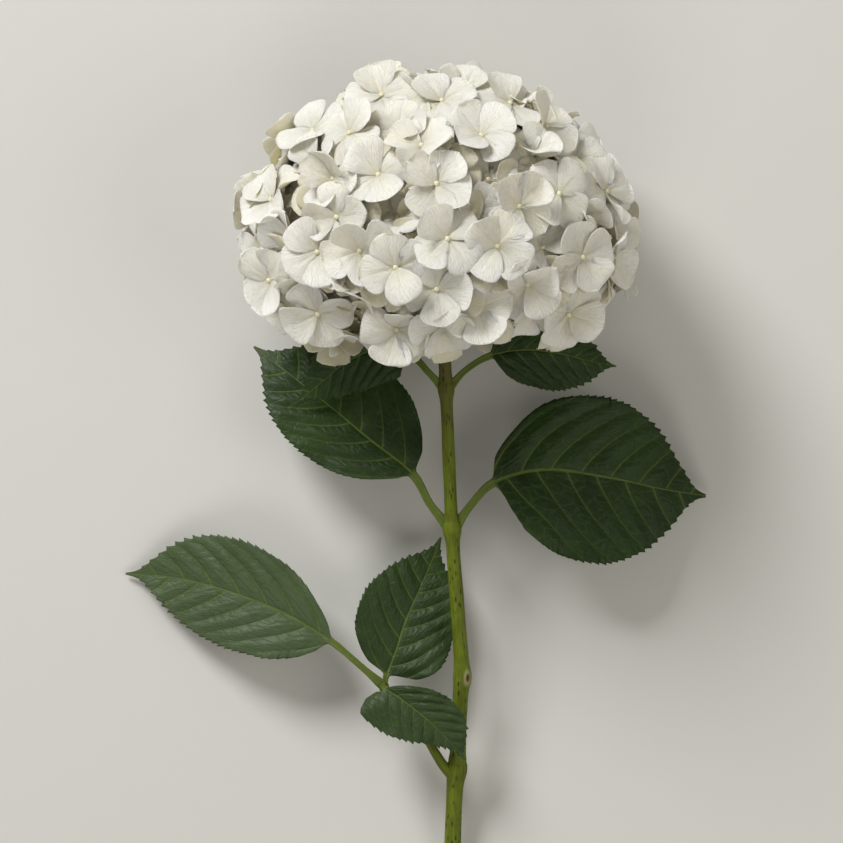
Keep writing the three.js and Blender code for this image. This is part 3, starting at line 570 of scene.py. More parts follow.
def stalk_material(settings):
    """Floret stalks and branches: pale green, paler towards the florets, with fine downy streaks."""
    face = Surface(
        "stalk_pale_green", Subsurface_Weight=0.12, Subsurface_Scale=0.0012, Specular_IOR_Level=0.35)
    _, deep, _ = face.tone()
    mottle = face.noise(420, 3)
    body = face.layers(settings.stalk, (deep, STALK_DEEP), (mottle.between(0.45, 0.75) * 0.5, STALK_MOTTLE))
    return face.paint(Base_Color=body, Roughness=0.5 + mottle * 0.2, Normal=face.bump(mottle, 0.0002, 0.4))


def leaf_material(settings):
    """Leaf skin: deep green between pale veins that sink into its upper face, a network of fine veins, paler
    teeth, and a matt grey-green underside."""
    face = Surface("leaf_green", Subsurface_Weight=0.03, Subsurface_Scale=0.0008, Specular_IOR_Level=0.22)
    along, across = face.across()
    young_green_and_sheen, under, right = face.tone()
    phase = vein_line(along, across, right * 2)
    off = phase.to_nearest_whole()
    on_blade = along.between(0.0, 0.03)
    away = abs(across)
    slim = along.between(1.0, 0.0) * 0.7 + 0.3
    main = (away / slim).between(0.028, 0.010) * on_blade
    taper = away.between(1.0, 0.05)
    branch = (off / (taper * 0.6 + 0.4)).between(0.06, 0.015) * on_blade * (taper * 0.7 + 0.3)
    rungs = face.vector(phase * 1.6, across * 7.0, young_green_and_sheen * 9)
    net = face.network(1.25, rungs).between(0.09, 0.0)
    fine = face.network(620).between(0.16, 0.0)
    lines = main.maths("MAXIMUM", main, branch * 0.6)
    patch = face.noise(30, 4)
    streak = face.noise(140, 3)
    body = face.layers(
        settings.deep,
        (patch.between(0.3, 0.7), settings.bright),
        # Partly the lighter green of a younger leaf, partly painted sheen, laid on most thickly on
        # leaf_shoot_left.
        (young_green_and_sheen, settings.young_green_and_sheen),
        (streak.between(0.5, 0.8) * 0.25, LEAF_STREAK),
        (net * 0.28 + fine * 0.10, LEAF_NET),
        (off.between(0.22, 0.0) * on_blade * 0.25, LEAF_BESIDE_VEIN),
        (lines * 0.72, settings.vein),
        (under, face.mix(lines * 0.7 + net * 0.25, LEAF_BACK, LEAF_BACK_VEIN)),
        (1 - on_blade, face.mix(streak, PETIOLE, PETIOLE_STREAK)),
    )
    height = net * -0.5 + fine * -0.15 + streak * 0.12 + branch * -0.5
    rough = streak * 0.12 + under * 0.2 + 0.38
    return face.paint(Base_Color=body, Roughness=rough, Normal=face.bump(height, 0.0003, 0.7))


def stem_material(settings):
    """Stem skin: yellow-green, browner towards the head, with fine long streaks, dark slit-like pores, a pale
    leaf scar with a red-brown heart, and a cut end of pale wood round a white pith."""
    face = Surface("stem_skin", Subsurface_Weight=0.05, Subsurface_Scale=0.001, Specular_IOR_Level=0.2)
    length, turn = face.across()
    brown, scar, cut = face.tone()
    streak = face.noise(1.0, 4, face.vector(length * 0.05, turn * 34))
    patch = face.noise(1.0, 3, face.vector(length * 0.09, turn * 6))
    slits = face.node(
        "TexVoronoi", {"feature": "F1"},
        {"Vector": face.vector(length * 0.16, turn * 13), "Scale": 1.0, "Randomness": 1.0},
    )
    chosen = face.noise(1.0, 1, face.vector(length * 0.045, turn * 4.1, 7.0)).between(0.38, 0.5)
    pores = slits.between(0.30, 0.14) * chosen
    body = face.layers(
        settings.green,
        (streak.between(0.3, 0.72), settings.light),
        (patch.between(0.42, 0.66) * 0.6, STEM_PATCH),
        (brown * 0.75, settings.brown),
        (pores * 0.95, PORE),
        (scar.between(0.2, 0.6) * (patch * 0.5 + 0.5), SCAR_RIM),
        (scar.between(0.72, 0.92), SCAR_HEART),
        (cut.between(0.02, 0.03), face.mix(cut.between(0.35, 0.42), PITH, WOOD)),
    )
    height = streak * 0.5 + pores * -0.9 + patch * 0.3
    return face.paint(Base_Color=body, Roughness=0.40 + streak * 0.2, Normal=face.bump(height, 0.0003, 0.7))


def floor_material(settings):
    """A plain pale matt floor."""
    face = Surface("pale_floor", Roughness=0.85, Specular_IOR_Level=0.15)
    grain = face.noise(60, 2)
    darker = colour(*(0.96 * share for share in settings.floor[:3]))
    return face.paint(Base_Color=face.mix(grain * 0.3, settings.floor, darker))


def length_setting(name, description, default):
    """A length in metres that a user may change."""
    return FloatProperty(name=name, description=description, default=default, unit="LENGTH")


def colour_setting(name, description, *default):
    """An opaque colour that a user may change."""
    return FloatVectorProperty(
        name=name, description=description, subtype="COLOR", size=4, default=colour(*default))


# ------------------------------------------------------------------ florets


def merged_triangles(node):
    """A solid's corners in millimetres, before the shift, and its triangles on them."""
    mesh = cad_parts[node].data
    points = np.empty(len(mesh.vertices) * 3, np.float32)
    mesh.vertices.foreach_get("co", points)
    mesh.calc_loop_triangles()
    corners = np.empty(len(mesh.loop_triangles) * 3, np.int64)
    mesh.loop_triangles.foreach_get("vertices", corners)
    places, index = np.unique(np.round(points.reshape(-1, 3) / MM, 3), axis=0, return_inverse=True)
    return places - SHIFT, index.reshape(-1)[corners].reshape(-1, 3)


def ring_round(triangles, corner):
    """The corners round a corner, anticlockwise seen from outside, or none if they don't close."""
    after = {}
    for triangle in triangles[(triangles == corner).any(axis=1)].tolist():
        k = triangle.index(corner)
        after[triangle[(k + 1) % 3]] = triangle[(k + 2) % 3]
    ring = [next(iter(after))]
    while len(ring) < len(after) and after.get(ring[-1], ring[0]) != ring[0]:
        ring.append(after[ring[-1]])
    return ring if len(ring) == len(after) else []


def find_florets(node):
    """The florets of a cyme, from its solid: the top of each is a corner with a ring of about sixteen others,
    which come near it at four clefts and reach furthest at the tip of each sepal between them. Each is its
    seat, the way it faces and its four sepals."""
    places, triangles = merged_triangles(node)
    found = []
    for top in np.flatnonzero(np.bincount(triangles.ravel()) >= RING_LEAST):
        ring = places[ring_round(triangles, top)]
        if len(ring) < RING_LEAST:
            continue
        away = np.linalg.norm(ring - places[top], axis=1)
        clefts = np.sort(np.argsort(away)[:4])
        if away[clefts].max() > CLEFT_MOST:
            continue
        ring = np.roll(ring, -clefts[0], axis=0)
        away = np.roll(away, -clefts[0])
        starts = clefts - clefts[0]
        lobes = [np.arange(a + 1, b) for a, b in zip(starts, [*starts[1:], len(ring)])]
        if min(len(lobe) for lobe in lobes) < 2 or min(away[lobe].max() for lobe in lobes) < TIP_LEAST:
            continue
        face = unit(np.cross(ring[starts[2]] - ring[starts[0]], ring[starts[3]] - ring[starts[1]]))
        seat = places[top] - face * FLORET_TOP
        found.append((seat, face, [lobe_points(ring, lobe, away, seat) for lobe in lobes]))
    return found


def lobe_points(ring, lobe, away, seat):
    """A sepal's tip, and its right and left shoulders: the points furthest from the line to the tip on each
    side. A shoulder that the solid has lost is the other one, mirrored in that line."""
    tip = lobe[np.argmax(away[lobe])]
    line = unit(ring[tip] - seat)

    def off_line(points):
        return points - seat - ((points - seat) @ line)[:, None] * line

    sides = []
    for part in (lobe[lobe < tip], lobe[lobe > tip]):
        reach = np.linalg.norm(off_line(ring[part]), axis=1)
        sides.append(ring[part[np.argmax(reach)]] if len(part) else None)
    if sides[0] is None or sides[1] is None:
        kept = sides[0] if sides[1] is None else sides[1]
        mirrored = kept - 2 * off_line(kept[None])[0]
        sides = [kept if s is not None else mirrored for s in sides]
    return ring[tip], sides[0], sides[1]


def rotated(vectors, axes, angles):
    """Vectors turned about unit axes by angles in degrees."""
    angles = np.radians(np.asarray(angles))[..., None]
    along = axes * np.sum(axes * vectors, axis=-1, keepdims=True)
    return vectors * np.cos(angles) + np.cross(axes, vectors) * np.sin(angles) + along * (1 - np.cos(angles))


def tumble(seat, face, lobes, steep, random):
    """A floret, less even than its solid: it leans a little as a whole, each sepal lifts or drops and turns
    about its own middle line, and a share of them stand steeply. Returns its face and, for four sepals, the
    way to each tip, right shoulder and left shoulder."""
    axis = unit(np.cross(face, random.normal(size=3)))
    lean = random.normal(0, LEAN)
    ways = rotated(np.array(lobes) - seat, axis, lean)
    face = rotated(face, axis, lean)
    hinge = unit(np.cross(unit(ways[:, :1]), face))
    lift = random.normal(*LIFT, 4) + (random.random(4) < steep) * random.uniform(*STEEP, 4)
    ways = rotated(ways, hinge, lift[:, None])
    roll = random.normal(0, ROLL, 4)
    return face, rotated(ways, unit(ways[:, :1]), roll[:, None])


def gaps_beside(seat, face, others):
    """Three ways beside a floret: of twelve, the two that lead furthest from all others and not the same way,
    and the one between them at its far side. A way's room is the distance from a place along it to the
    second nearest seat, since the nearest is often the floret's own."""
    side = unit(np.cross(face, ODD_WAY))
    turn = np.radians(30 * np.arange(12))[:, None]
    ways = side * np.cos(turn) + np.cross(face, side) * np.sin(turn)
    room = np.linalg.norm((seat + UNDER_BESIDE[1] * ways)[:, None] - others, axis=-1)
    room = np.sort(room, axis=1)[:, 1]
    first = ways[np.argmax(room)]
    second = ways[np.argmax(room - 9 * (ways @ first))]
    return first, second, unit(-first - second - 0.01 * side)


def under_floret(seat, face, beside, depth, random):
    """A younger floret that fills the gap beside and below another: its place, its face and its sepals."""
    seat = seat - face * (depth + random.uniform(0, 3)) + beside * random.uniform(*UNDER_BESIDE)
    face = unit(face + 0.08 * beside + 0.16 * random.normal(size=3))
    side = unit(np.cross(face, random.normal(size=3)))
    over = np.cross(face, side)
    length = random.uniform(*UNDER_LENGTH)
    lobes = []
    for turn in np.radians(90 * np.arange(4) + random.normal(0, 5, 4)):
        line = side * np.cos(turn) + over * np.sin(turn)
        shoulder = 0.47 * length * np.cross(face, line)
        middle = seat + 0.58 * length * line + face
        lobes.append((seat + length * line + face, middle - shoulder, middle + shoulder))
    return seat, face, lobes


def sepal_profile(share, pointed):
    """Half width at a share of the way to the tip, at most 1: a power of the share, which opens quickly from
    a narrow claw, times a power of what is left, which closes in a broad, square tip or a pointed one."""
    rise, late, close = 0.74, 4.2 - 1.7 * pointed, 0.5 + 0.36 * pointed
    widest = rise / (rise + late * close)
    return share ** rise * (1 - share ** late) ** close / (widest ** (rise / late) * (1 - widest) ** close)


class FloretSizes(bpy.types.PropertyGroup):
    """Sizes and colours of the florets"""

    fullness: FloatProperty(
        name="Fullness", description="Half width of a sepal as a share of its length", default=0.56,
        min=0.3, max=0.7)
    steep: FloatProperty(
        name="Steep", description="Share of the sepals that stand steeply", default=0.13, min=0.0, max=1.0)
    thickness: length_setting("Thickness", "Of a sepal near its middle", 0.00045)
    waviness: length_setting("Waviness", "How far a sepal's rim waves", 0.0012)
    bud_radius: length_setting("Bud radius", "Of the closed bud in a floret's middle", 0.0013)
    steps_along: IntProperty(name="Steps along", description="Of a sepal's grid", default=17, min=6)
    steps_across: IntProperty(name="Steps across", description="Of a sepal's grid", default=23, min=7)
    glow: FloatProperty(
        name="Glow", description="How much light spreads inside a sepal", default=0.5, subtype="FACTOR")
    cream: colour_setting("Cream", "Of a fresh sepal", 0.925, 0.91, 0.85)
    warm: colour_setting("Warm cream", "Of an older sepal", 0.90, 0.87, 0.745)
    # Painted shade: the yellower cream laid on sepals deep inside the head, where shade falls between
    # florets.
    shade: colour_setting("Shaded cream", "Of a sepal deep inside the head", 0.88, 0.81, 0.57)
    # Partly a sepal foot's own yellow-green, partly painted shade in the middle of a floret.
    claw: colour_setting("Claw", "Of a sepal's foot", 0.82, 0.775, 0.55)
    bud: colour_setting("Bud", "Of the closed bud", 0.85, 0.81, 0.65)
    stalk: colour_setting("Stalk", "Of a floret's stalk", 0.55, 0.60, 0.32)


def sepal_rings(seat, ways, random, settings, steps):
    """Closed skins of the four sepals of a floret. Along its middle line each one arches and its tip curls.
    Across, it is cupped by as much as its solid is, it folds a little along the middle line, and its rim
    waves. A groove follows the middle line, and soft ribs fan from the claw. The skin lies half the thickness
    to each side of that sheet, and thins to its rim. One pair of sepals starts above the other."""
    length = np.linalg.norm(ways[:, 0], axis=1)
    along = ways[:, 0] / length[:, None]
    wide = ways[:, 1] - ways[:, 2]
    side = unit(wide - np.sum(wide * along, axis=1, keepdims=True) * along)
    lift = np.cross(side, along)
    rise = np.sum((ways[:, 1] + ways[:, 2]) / 2 * lift, axis=1)[:, None, None]
    size = length[:, None, None] * 1.03

    turn = np.linspace(0, np.pi, steps[0])
    u = (0.012 + 0.986 * (1 - np.cos(turn)) / 2)[None, :, None]
    even = np.linspace(-1, 1, steps[1])
    v = (0.65 * even + 0.35 * np.sin(even * np.pi / 2))[None, None, :]
    draw = random.random((14, 4, 1, 1))
    rim = np.abs(v)
    phase = 2 * np.pi * np.where(v < 0, draw[0], draw[1])
    wobble = 1 + 0.06 * np.sin(6 * u + phase) * rim + 0.02 * np.sin(15 * u + 2 * phase) * rim
    pointed = np.clip(draw[3] * 1.7 - 0.2, 0, 1)
    width = settings.fullness * size * sepal_profile(u, pointed) * wobble * (0.93 + 0.13 * draw[2])
    notch = 0.04 * (draw[10] > 0.8) * np.exp(-((v / 0.16) ** 2)) * u ** 10
    x = size * u * (1 - notch + 0.05 * pointed * np.exp(-((v / 0.25) ** 2)) * u ** 10)
    y = width * v
    back = (0.10 * draw[5] - 0.02) * size
    curl = (0.24 * draw[11] - 0.12) * size
    cup = np.clip((rise - 0.97 * back) / 0.7, -0.08 * size, 0.26 * size) + (0.24 * draw[12] - 0.08) * size
    fold = 0.28 * draw[13] - 0.08
    wave = settings.waviness / MM * (0.35 + 1.1 * draw[6])
    fine = 0.25 * (steps[0] > UNDER_STEPS[0])
    waves = np.sin((4 + 3.5 * draw[7]) * u + phase) + fine * np.sin(11 * u + 3 * phase + 5 * draw[8])
    ribs = 0.10 * np.cos(12 * np.arctan2(y, x + 0.6) + 4 * draw[9]) * np.sin(np.pi * u) * (1 - rim ** 4)
    groove = -0.35 * np.exp(-((y / 0.9) ** 2)) * np.sin(np.pi * np.minimum(u * 1.3, 1))
    z = 4 * back * u * (1 - u) + curl * u ** 3.5 + cup * (y / (0.5 * size)) ** 2 * (0.5 + 0.5 * u)
    z = z + fold * (np.sqrt(y * y + 0.8) - 0.9) * (1 - 0.5 * u) + wave * rim ** 2.6 * u ** 0.6 * waves
    level = np.array([-0.3, 0.3, -0.3, 0.3])[:, None, None]
    z = z + ribs + groove + level * (1 - u) ** 1.5

    def spread(vector, amount):
        return vector[:, None, None, :] * amount[..., None]

    sheet = seat + spread(along, x) + spread(side, y) + spread(lift, z)
    normal = unit(np.cross(np.gradient(sheet, axis=2), np.gradient(sheet, axis=1)))
    thick = settings.thickness / MM * (1 - 0.72 * rim ** 3) * (1 - 0.6 * u ** 8) / 2
    shell = normal * thick[..., None]
    rings = np.concatenate([sheet + shell, (sheet - shell)[:, :, ::-1]], axis=2)
    uv = np.stack([x / size, y / size], axis=-1)
    return rings, np.concatenate([uv, uv[:, :, ::-1]], axis=2)


def bud_rings(seat, face, radius, start):
    """A low four-lobed dome: a ball pressed flat, whose radius swells four times round its axis, with a
    shallow cross on top."""
    rings, around = 9, 16
    rise = np.linspace(-np.pi / 2, np.pi / 2, rings) * 0.985
    turn = 2 * np.pi * np.arange(around) / around
    side = unit(start - (start @ face) * face)
    over = np.cross(face, side)
    lobes = 1 + 0.07 * np.cos(4 * turn) * np.cos(rise)[:, None]
    reach = radius * np.cos(rise)[:, None] * lobes
    height = radius * 0.85 * np.sin(rise)[:, None] * np.ones(around)
    cross = -0.16 * radius * np.exp(-((np.cos(rise)[:, None] / 0.5) ** 2)) * np.abs(np.cos(2 * turn))
    height = height + cross * (rise[:, None] > 0)
    spot = seat + face * (0.75 + height[..., None])
    return spot - reach[..., None] * (side * np.cos(turn)[:, None] + over * np.sin(turn)[:, None])


def stalk_rings(seat, face, fork):
    """A floret's stalk: a curve that leaves the floret along its axis and bends to the fork, flaring at both
    ends."""
    t = np.linspace(0, 1, 14)[:, None]
    radii = 0.72 + 0.25 * np.exp(-((t - 1) / 0.18) ** 2) + 0.25 * np.exp(-(t / 0.1) ** 2)
    knee = seat - face * (0.45 * np.linalg.norm(seat - fork))
    return bent_tube(fork, knee, seat - face * 0.1, t, radii, 8)[1]


def head_crown():
    """The top of the stem, and the way it points."""
    line = stem_line()[:, :3]
    return line[-1], unit(line[-1] - line[-2])


def find_cymes():
    """For the name of each cyme, its florets and the place where it forks, a share of the way from the crown
    of the stem to the middle of its florets."""
    crown, _ = head_crown()
    cymes = {}
    for name in sorted(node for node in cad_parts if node.startswith("cyme_")):
        florets = find_florets(name)
        middle = np.mean([seat for seat, _, _ in florets], axis=0)
        cymes[name] = (florets, crown + CYME_FORK * (middle - crown))
    return cymes


class GrowFlorets(bpy.types.Operator):
    """Grow the sepals, buds and stalks of every floret over the solids of the cymes"""

    bl_idname = "hydrangea.grow_florets"
    bl_label = "Florets"

    def execute(self, context):
        settings = context.scene.hydrangea_florets
        materials = [sepal_material(settings), bud_material(settings), stalk_material(settings)]
        random = np.random.default_rng(11)
        cymes = find_cymes()
        seats = np.array([seat for florets, _ in cymes.values() for seat, _, _ in florets])
        for name, (florets, fork) in cymes.items():
            # Each floret's rank, 0 in front and 1 to 3 below, its shape, and the seat and face of the one
            # in front.
            grown = [(0, *floret, *floret[:2]) for floret in florets]
            for seat, face, _ in florets:
                for rank, beside in enumerate(gaps_beside(seat, face, seats), 1):
                    below = under_floret(seat, face, beside, UNDER_DEPTHS[rank - 1], random)
                    grown.append((rank, *below, seat, face))
            skin = Skin()
            for floret in grown:
                self.grow_floret(skin, floret, fork, settings, random)
            finish_piece(skin.make(name.replace("cyme", "florets"), materials), "floret", name)
        return {"FINISHED"}

    def grow_floret(self, skin, floret, fork, settings, random):
        """One floret's sepals, bud and stalk. A sepal is tinted as a whole, and its tone deepens with its
        depth below the floret in front, as painted shade: a yellower cream deeper inside the head."""
        rank, seat, face, lobes, top, outwards = floret
        face, ways = tumble(seat, face, lobes, 0 if rank else settings.steep, random)
        steps = UNDER_STEPS if rank else (settings.steps_along, settings.steps_across)
        rings, uvs = sepal_rings(seat, ways, random, settings, steps)
        tint = 0.5 * random.random() + 0.5 * random.random((4, 1, 1, 1)) * np.ones(rings.shape[:-1] + (1,))
        # Painted shade: the further a sepal lies below the floret in front, and the further below it ranks,
        # the more shaded cream it takes.
        deep = ramp(-4, 12, (top - rings) @ outwards + 2 * rank)[..., None]
        skin.add(rings, uvs, np.concatenate([tint, deep, tint * 0], axis=-1))
        bud = bud_rings(seat, face, settings.bud_radius / MM, ways[0, 0])
        skin.add(bud, np.zeros(2), np.zeros(3), 1)
        stalk = stalk_rings(seat, face, fork)
        fade = np.linspace(1, 0, len(stalk))[:, None, None] * [0, 1, 0]
        skin.add(stalk, np.zeros(2), fade, 2)


def spread_groups(points, count):
    """Groups of points round centres that are picked as far apart as can be, starting with the first
    point."""
    points = np.array(points)
    nearest = np.linalg.norm(points - points[0], axis=1)
    centres = [0]
    while len(centres) < count:
        centres.append(int(np.argmax(nearest)))
        nearest = np.minimum(nearest, np.linalg.norm(points - points[centres[-1]], axis=1))
    owner = np.argmin(np.linalg.norm(points[:, None] - points[centres], axis=2), axis=1)
    return [np.flatnonzero(owner == k) for k in range(count)]


class GrowBranches(bpy.types.Operator):
    """Grow the forking branches inside the flower head"""

    bl_idname = "hydrangea.grow_branches"
    bl_label = "Branches"

    def execute(self, context):
        crown, upwards = head_crown()
        forks = [fork for _, fork in find_cymes().values()]
        skin = Skin()

        def branch(start, leave, end, thick, thin):
            """One branch that leaves its start in a given way, thinning from a short flare."""
            t = np.linspace(0, 1, 18)[:, None]
            knee = start + leave * 0.45 * np.linalg.norm(end - start)
            radii = thick + (thin - thick) * t ** 0.7 + 0.4 * np.exp(-(t / 0.07) ** 2)
            path, rings = bent_tube(start, knee, end, t, radii, 12)
            skin.add(rings, tube_uvs(path, 12), np.array([0, 1, 0]) * (0.9 - 0.4 * t[..., None]))

        knot = crown + upwards * 4
        for members in spread_groups(forks, BRANCH_COUNT):
            middle = np.mean([forks[i] for i in members], axis=0)
            split = knot + BRANCH_FORK * (middle - knot)
            branch(crown, upwards, split, 2.6, 1.9)
            outwards = unit(split - crown)
            for i in members:
                branch(split - outwards, outwards, forks[i], 1.5, 1.05)
        t = np.linspace(0, 1, 8)[:, None]
        neck = crown + upwards * (5.5 * t - 1.5)
        along = np.repeat(upwards[None], 8, axis=0)
        skin.add(tube_rings(neck, along, 4.15 - 1.1 * t ** 2, 24), tube_uvs(neck, 24), np.array([0, 1, 0]))
        piece = skin.make("branches", [bpy.data.materials["stalk_pale_green"]])
        finish_piece(piece, "stem", "flower_branches")
        return {"FINISHED"}


# ------------------------------------------------------------------ leaves


class LeafSizes(bpy.types.PropertyGroup):
    """Sizes and colours of the leaves"""

    thickness: length_setting("Thickness", "Of the blade between its veins", 0.0006)
    quilting: length_setting("Quilting", "How far the blade swells between its side veins", 0.0018)
    tooth: FloatProperty(
        name="Tooth", description="Depth of a tooth as a share of its spacing", default=0.40,
        min=0.0, max=1.0)
    waviness: length_setting("Waviness", "How far the margin waves", 0.0012)
    steps_across: IntProperty(name="Steps across", description="Of a blade's grid", default=71, min=21)
    deep: colour_setting("Deep green", "Darkest green of the upper face", 0.0085, 0.0235, 0.003)
    bright: colour_setting("Bright green", "Lightest green of the upper face", 0.017, 0.043, 0.0055)
    # Partly the lighter green of younger leaves, partly painted sheen: a grey-green highlight laid into the
    # colour.
    young_green_and_sheen: colour_setting("Young green", "Of the lighter leaves of the side shoot", 0.088, 0.124, 0.062)
    vein: colour_setting("Vein", "Of the midrib and the side veins", 0.120, 0.165, 0.028)


def leaf_rings(name, leaf, settings):
    """The closed skin of a leaf and its petiole. The petiole is a round stalk with a channel above. The blade
    is a sheet: its half width follows the outline, its halves rise from the midrib and level off, it swells
    between its side veins, and its margin waves. Each tooth swells slowly along the margin and drops back at
    once, and leans towards the tip. Under the midrib and the side veins runs a rib."""
    route = np.array(leaf["route"]) + joint_point(leaf["joint"])
    straight = unit(route[-1] - route[leaf["petiole"] - 1])
    path = smooth_path(route, 400)
    length = run_lengths(path)
    foot_at = round(399 * (leaf["petiole"] - 1) / (len(route) - 1))
    start = length[foot_at] / length[-1]
    blade_length = length[-1] * (1 - start)

    # Stations run from -1 to 0 along the petiole and from 0 to 1 along the blade, some for each tooth.
    teeth = leaf["teeth"]
    shares = ((np.arange(teeth)[:, None] + TOOTH_STEPS).ravel() / teeth) ** 0.94
    stalk = np.linspace(-1, 0, 30)[:-1]
    s = np.concatenate([stalk, shares, [1.0]])[:, None]
    saw = np.concatenate([0 * stalk, np.tile(TOOTH_RISE, teeth), [0.0]])[:, None]
    blade = np.maximum(s, 0)
    at = np.where(s < 0, (1 + s) * start, start + s * (1 - start))[:, 0]
    centre, along = along_path(path, at)
    square = BLADE_SQUARE * np.clip(blade / 0.12, 0, 1)
    along = unit(along * (1 - square) + straight * square)
    side, lift = cross_frames(along)
    turned = np.radians(leaf["roll"]) * np.clip(blade / 0.15, 0, 1)
    side, lift = side * np.cos(turned) - lift * np.sin(turned), side * np.sin(turned) + lift * np.cos(turned)

    t = np.linspace(-1, 1, settings.steps_across)[None, :]
    t = np.sign(t) * (0.75 * np.abs(t) + 0.25 * np.abs(t) ** 2.2)
    far = np.abs(t)
    right = (t > 0) + 0.5 * (t == 0)
    outline = smooth_path(np.column_stack([BLADE_OUTLINE, np.zeros(len(BLADE_OUTLINE))]), 300)
    halves = [widest * np.interp(blade ** late, outline[:, 0], outline[:, 1])
              for widest, late in zip((leaf["left"], leaf["right"]), leaf["late"])]
    half = np.where(t < 0, halves[0], halves[1])
    full = np.where(t < 0, leaf["left"], leaf["right"])

    uneven = 0.8 + 0.25 * np.sin(23 * blade + 3 * np.sign(t)) + 0.12 * np.sin(61 * blade + 2 * np.sign(t))
    tooth = settings.tooth * blade_length / teeth * saw * far ** 10 * uneven
    tooth = tooth * ramp(0.03, 0.12, blade) * (1 - ramp(0.90, 0.96, blade))
    back = np.clip(1 - blade / 0.3, 0, 1) ** 2 * np.clip(t, 0, 1) ** 1.5 * np.minimum(blade / 0.03, 1)
    x = tooth * 0.9 - leaf.get("lobe", 0) * back
    y = half * t + np.sign(t) * tooth * 0.8
    q = y / full
    phase = vein_line(blade, q, right)
    off_vein = np.abs(phase - np.round(phase))
    ease = ramp(0.0, 0.12, blade) * (1 - ramp(0.80, 0.97, blade))
    seed = sum(map(ord, name)) % 17
    fold = math.tan(math.radians(leaf["fold"]))
    away = np.abs(y)
    sheet = half * fold * (far - 0.45 * far ** 2)
    swell = np.sqrt(np.minimum(1, off_vein / 0.5)) - 0.6
    sheet = sheet + settings.quilting / MM * swell * ease * np.minimum(1, away / 6) * (1 - far ** 5)
    rungs = away / 3.4 + 0.6 * np.sin(2 * np.pi * phase) + 0.5 * np.sin(0.35 * away + seed)
    between = np.minimum(1, off_vein / 0.2) * np.minimum(1, away / 5) * (1 - far ** 6)
    sheet = sheet + 0.17 * np.cos(2 * np.pi * rungs) * ease * between
    sheet = sheet + settings.waviness / MM * ease * far ** 2.2 * (
        np.sin(11 * blade + seed + 2 * np.sign(t)) + 0.45 * np.sin(31 * blade + 2 * seed + np.sign(t)))
    sheet = sheet + 0.8 * np.sin(7 * blade + 2.2 * q + seed) * ease * far
    groove = -0.5 * np.exp(-((y / 0.9) ** 2)) * ramp(0.0, 0.06, blade) * (1 - blade)
    thick = settings.thickness / MM / 2 * (1 - 0.6 * far ** 8)
    rib = leaf["stalk"] * 1.1 * (1 - blade) ** 0.8 * np.exp(-((y / (leaf["stalk"] * 0.7)) ** 2))
    small_rib = 0.4 * np.exp(-((off_vein / 0.045) ** 2)) * ease * (1 - far ** 3)
    top = sheet + thick + groove
    bottom = sheet - thick - rib - small_rib

    radius = leaf["stalk"] * (1 + 0.55 * np.exp(-(((s + 1) / 0.22) ** 2)) + 0.12 * ramp(-0.3, 0, s))
    turn = t * np.pi / 2
    round_top = radius * (0.62 * np.cos(turn) - 0.32 * np.exp(-((t / 0.4) ** 2)))
    opened = ramp(0.0, 0.05, s)
    y = radius * np.sin(turn) + (y - radius * np.sin(turn)) * opened
    top = round_top + (top - round_top) * opened
    bottom = -0.98 * radius * np.cos(turn) + (bottom + 0.98 * radius * np.cos(turn)) * opened

    def put(heights):
        return (centre[:, None] + side[:, None] * y[..., None] + lift[:, None] * heights[..., None]
                + along[:, None] * x[..., None])

    rings = np.concatenate([put(top), put(bottom)[:, ::-1]], axis=1)
    uv = np.stack(np.broadcast_arrays(s, y / full), axis=-1)
    uvs = np.concatenate([uv, uv[:, ::-1]], axis=1)

    def tones(under):
        return np.stack(np.broadcast_arrays(leaf["youth_and_sheen"], under, 0.5 * right, y)[:3], axis=-1)

    return rings, uvs, np.concatenate([tones(0.0), tones(s > 0)[:, ::-1]], axis=1)


class GrowLeaves(bpy.types.Operator):
    """Grow the seven leaves with their petioles"""

    bl_idname = "hydrangea.grow_leaves"
    bl_label = "Leaves"

    def execute(self, context):
        settings = context.scene.hydrangea_leaves
        material = leaf_material(settings)
        for name, leaf in LEAVES.items():
            skin = Skin()
            skin.add(*leaf_rings(name, leaf, settings))
            finish_piece(skin.make(name.replace("leaf", "blade"), [material]), "leaf", name)
        return {"FINISHED"}


# ------------------------------------------------------------------ stem and shoot


class StemSizes(bpy.types.PropertyGroup):
    """Sizes and colours of the stem and its side shoot"""

    around: IntProperty(name="Steps around", description="Points in one ring of the stem", default=48, min=12)
    along: IntProperty(name="Steps along", description="Rings from the cut to the head", default=420, min=50)
    ribbing: FloatProperty(
        name="Ribbing", description="Depth of the stem's long ribs as a share of its radius", default=0.022)
    green: colour_setting("Green", "Darker green of the skin", 0.088, 0.124, 0.005)
    light: colour_setting("Light green", "Lighter streaks of the skin", 0.155, 0.198, 0.011)
    brown: colour_setting("Brown", "Of the skin under the head", 0.080, 0.062, 0.016)


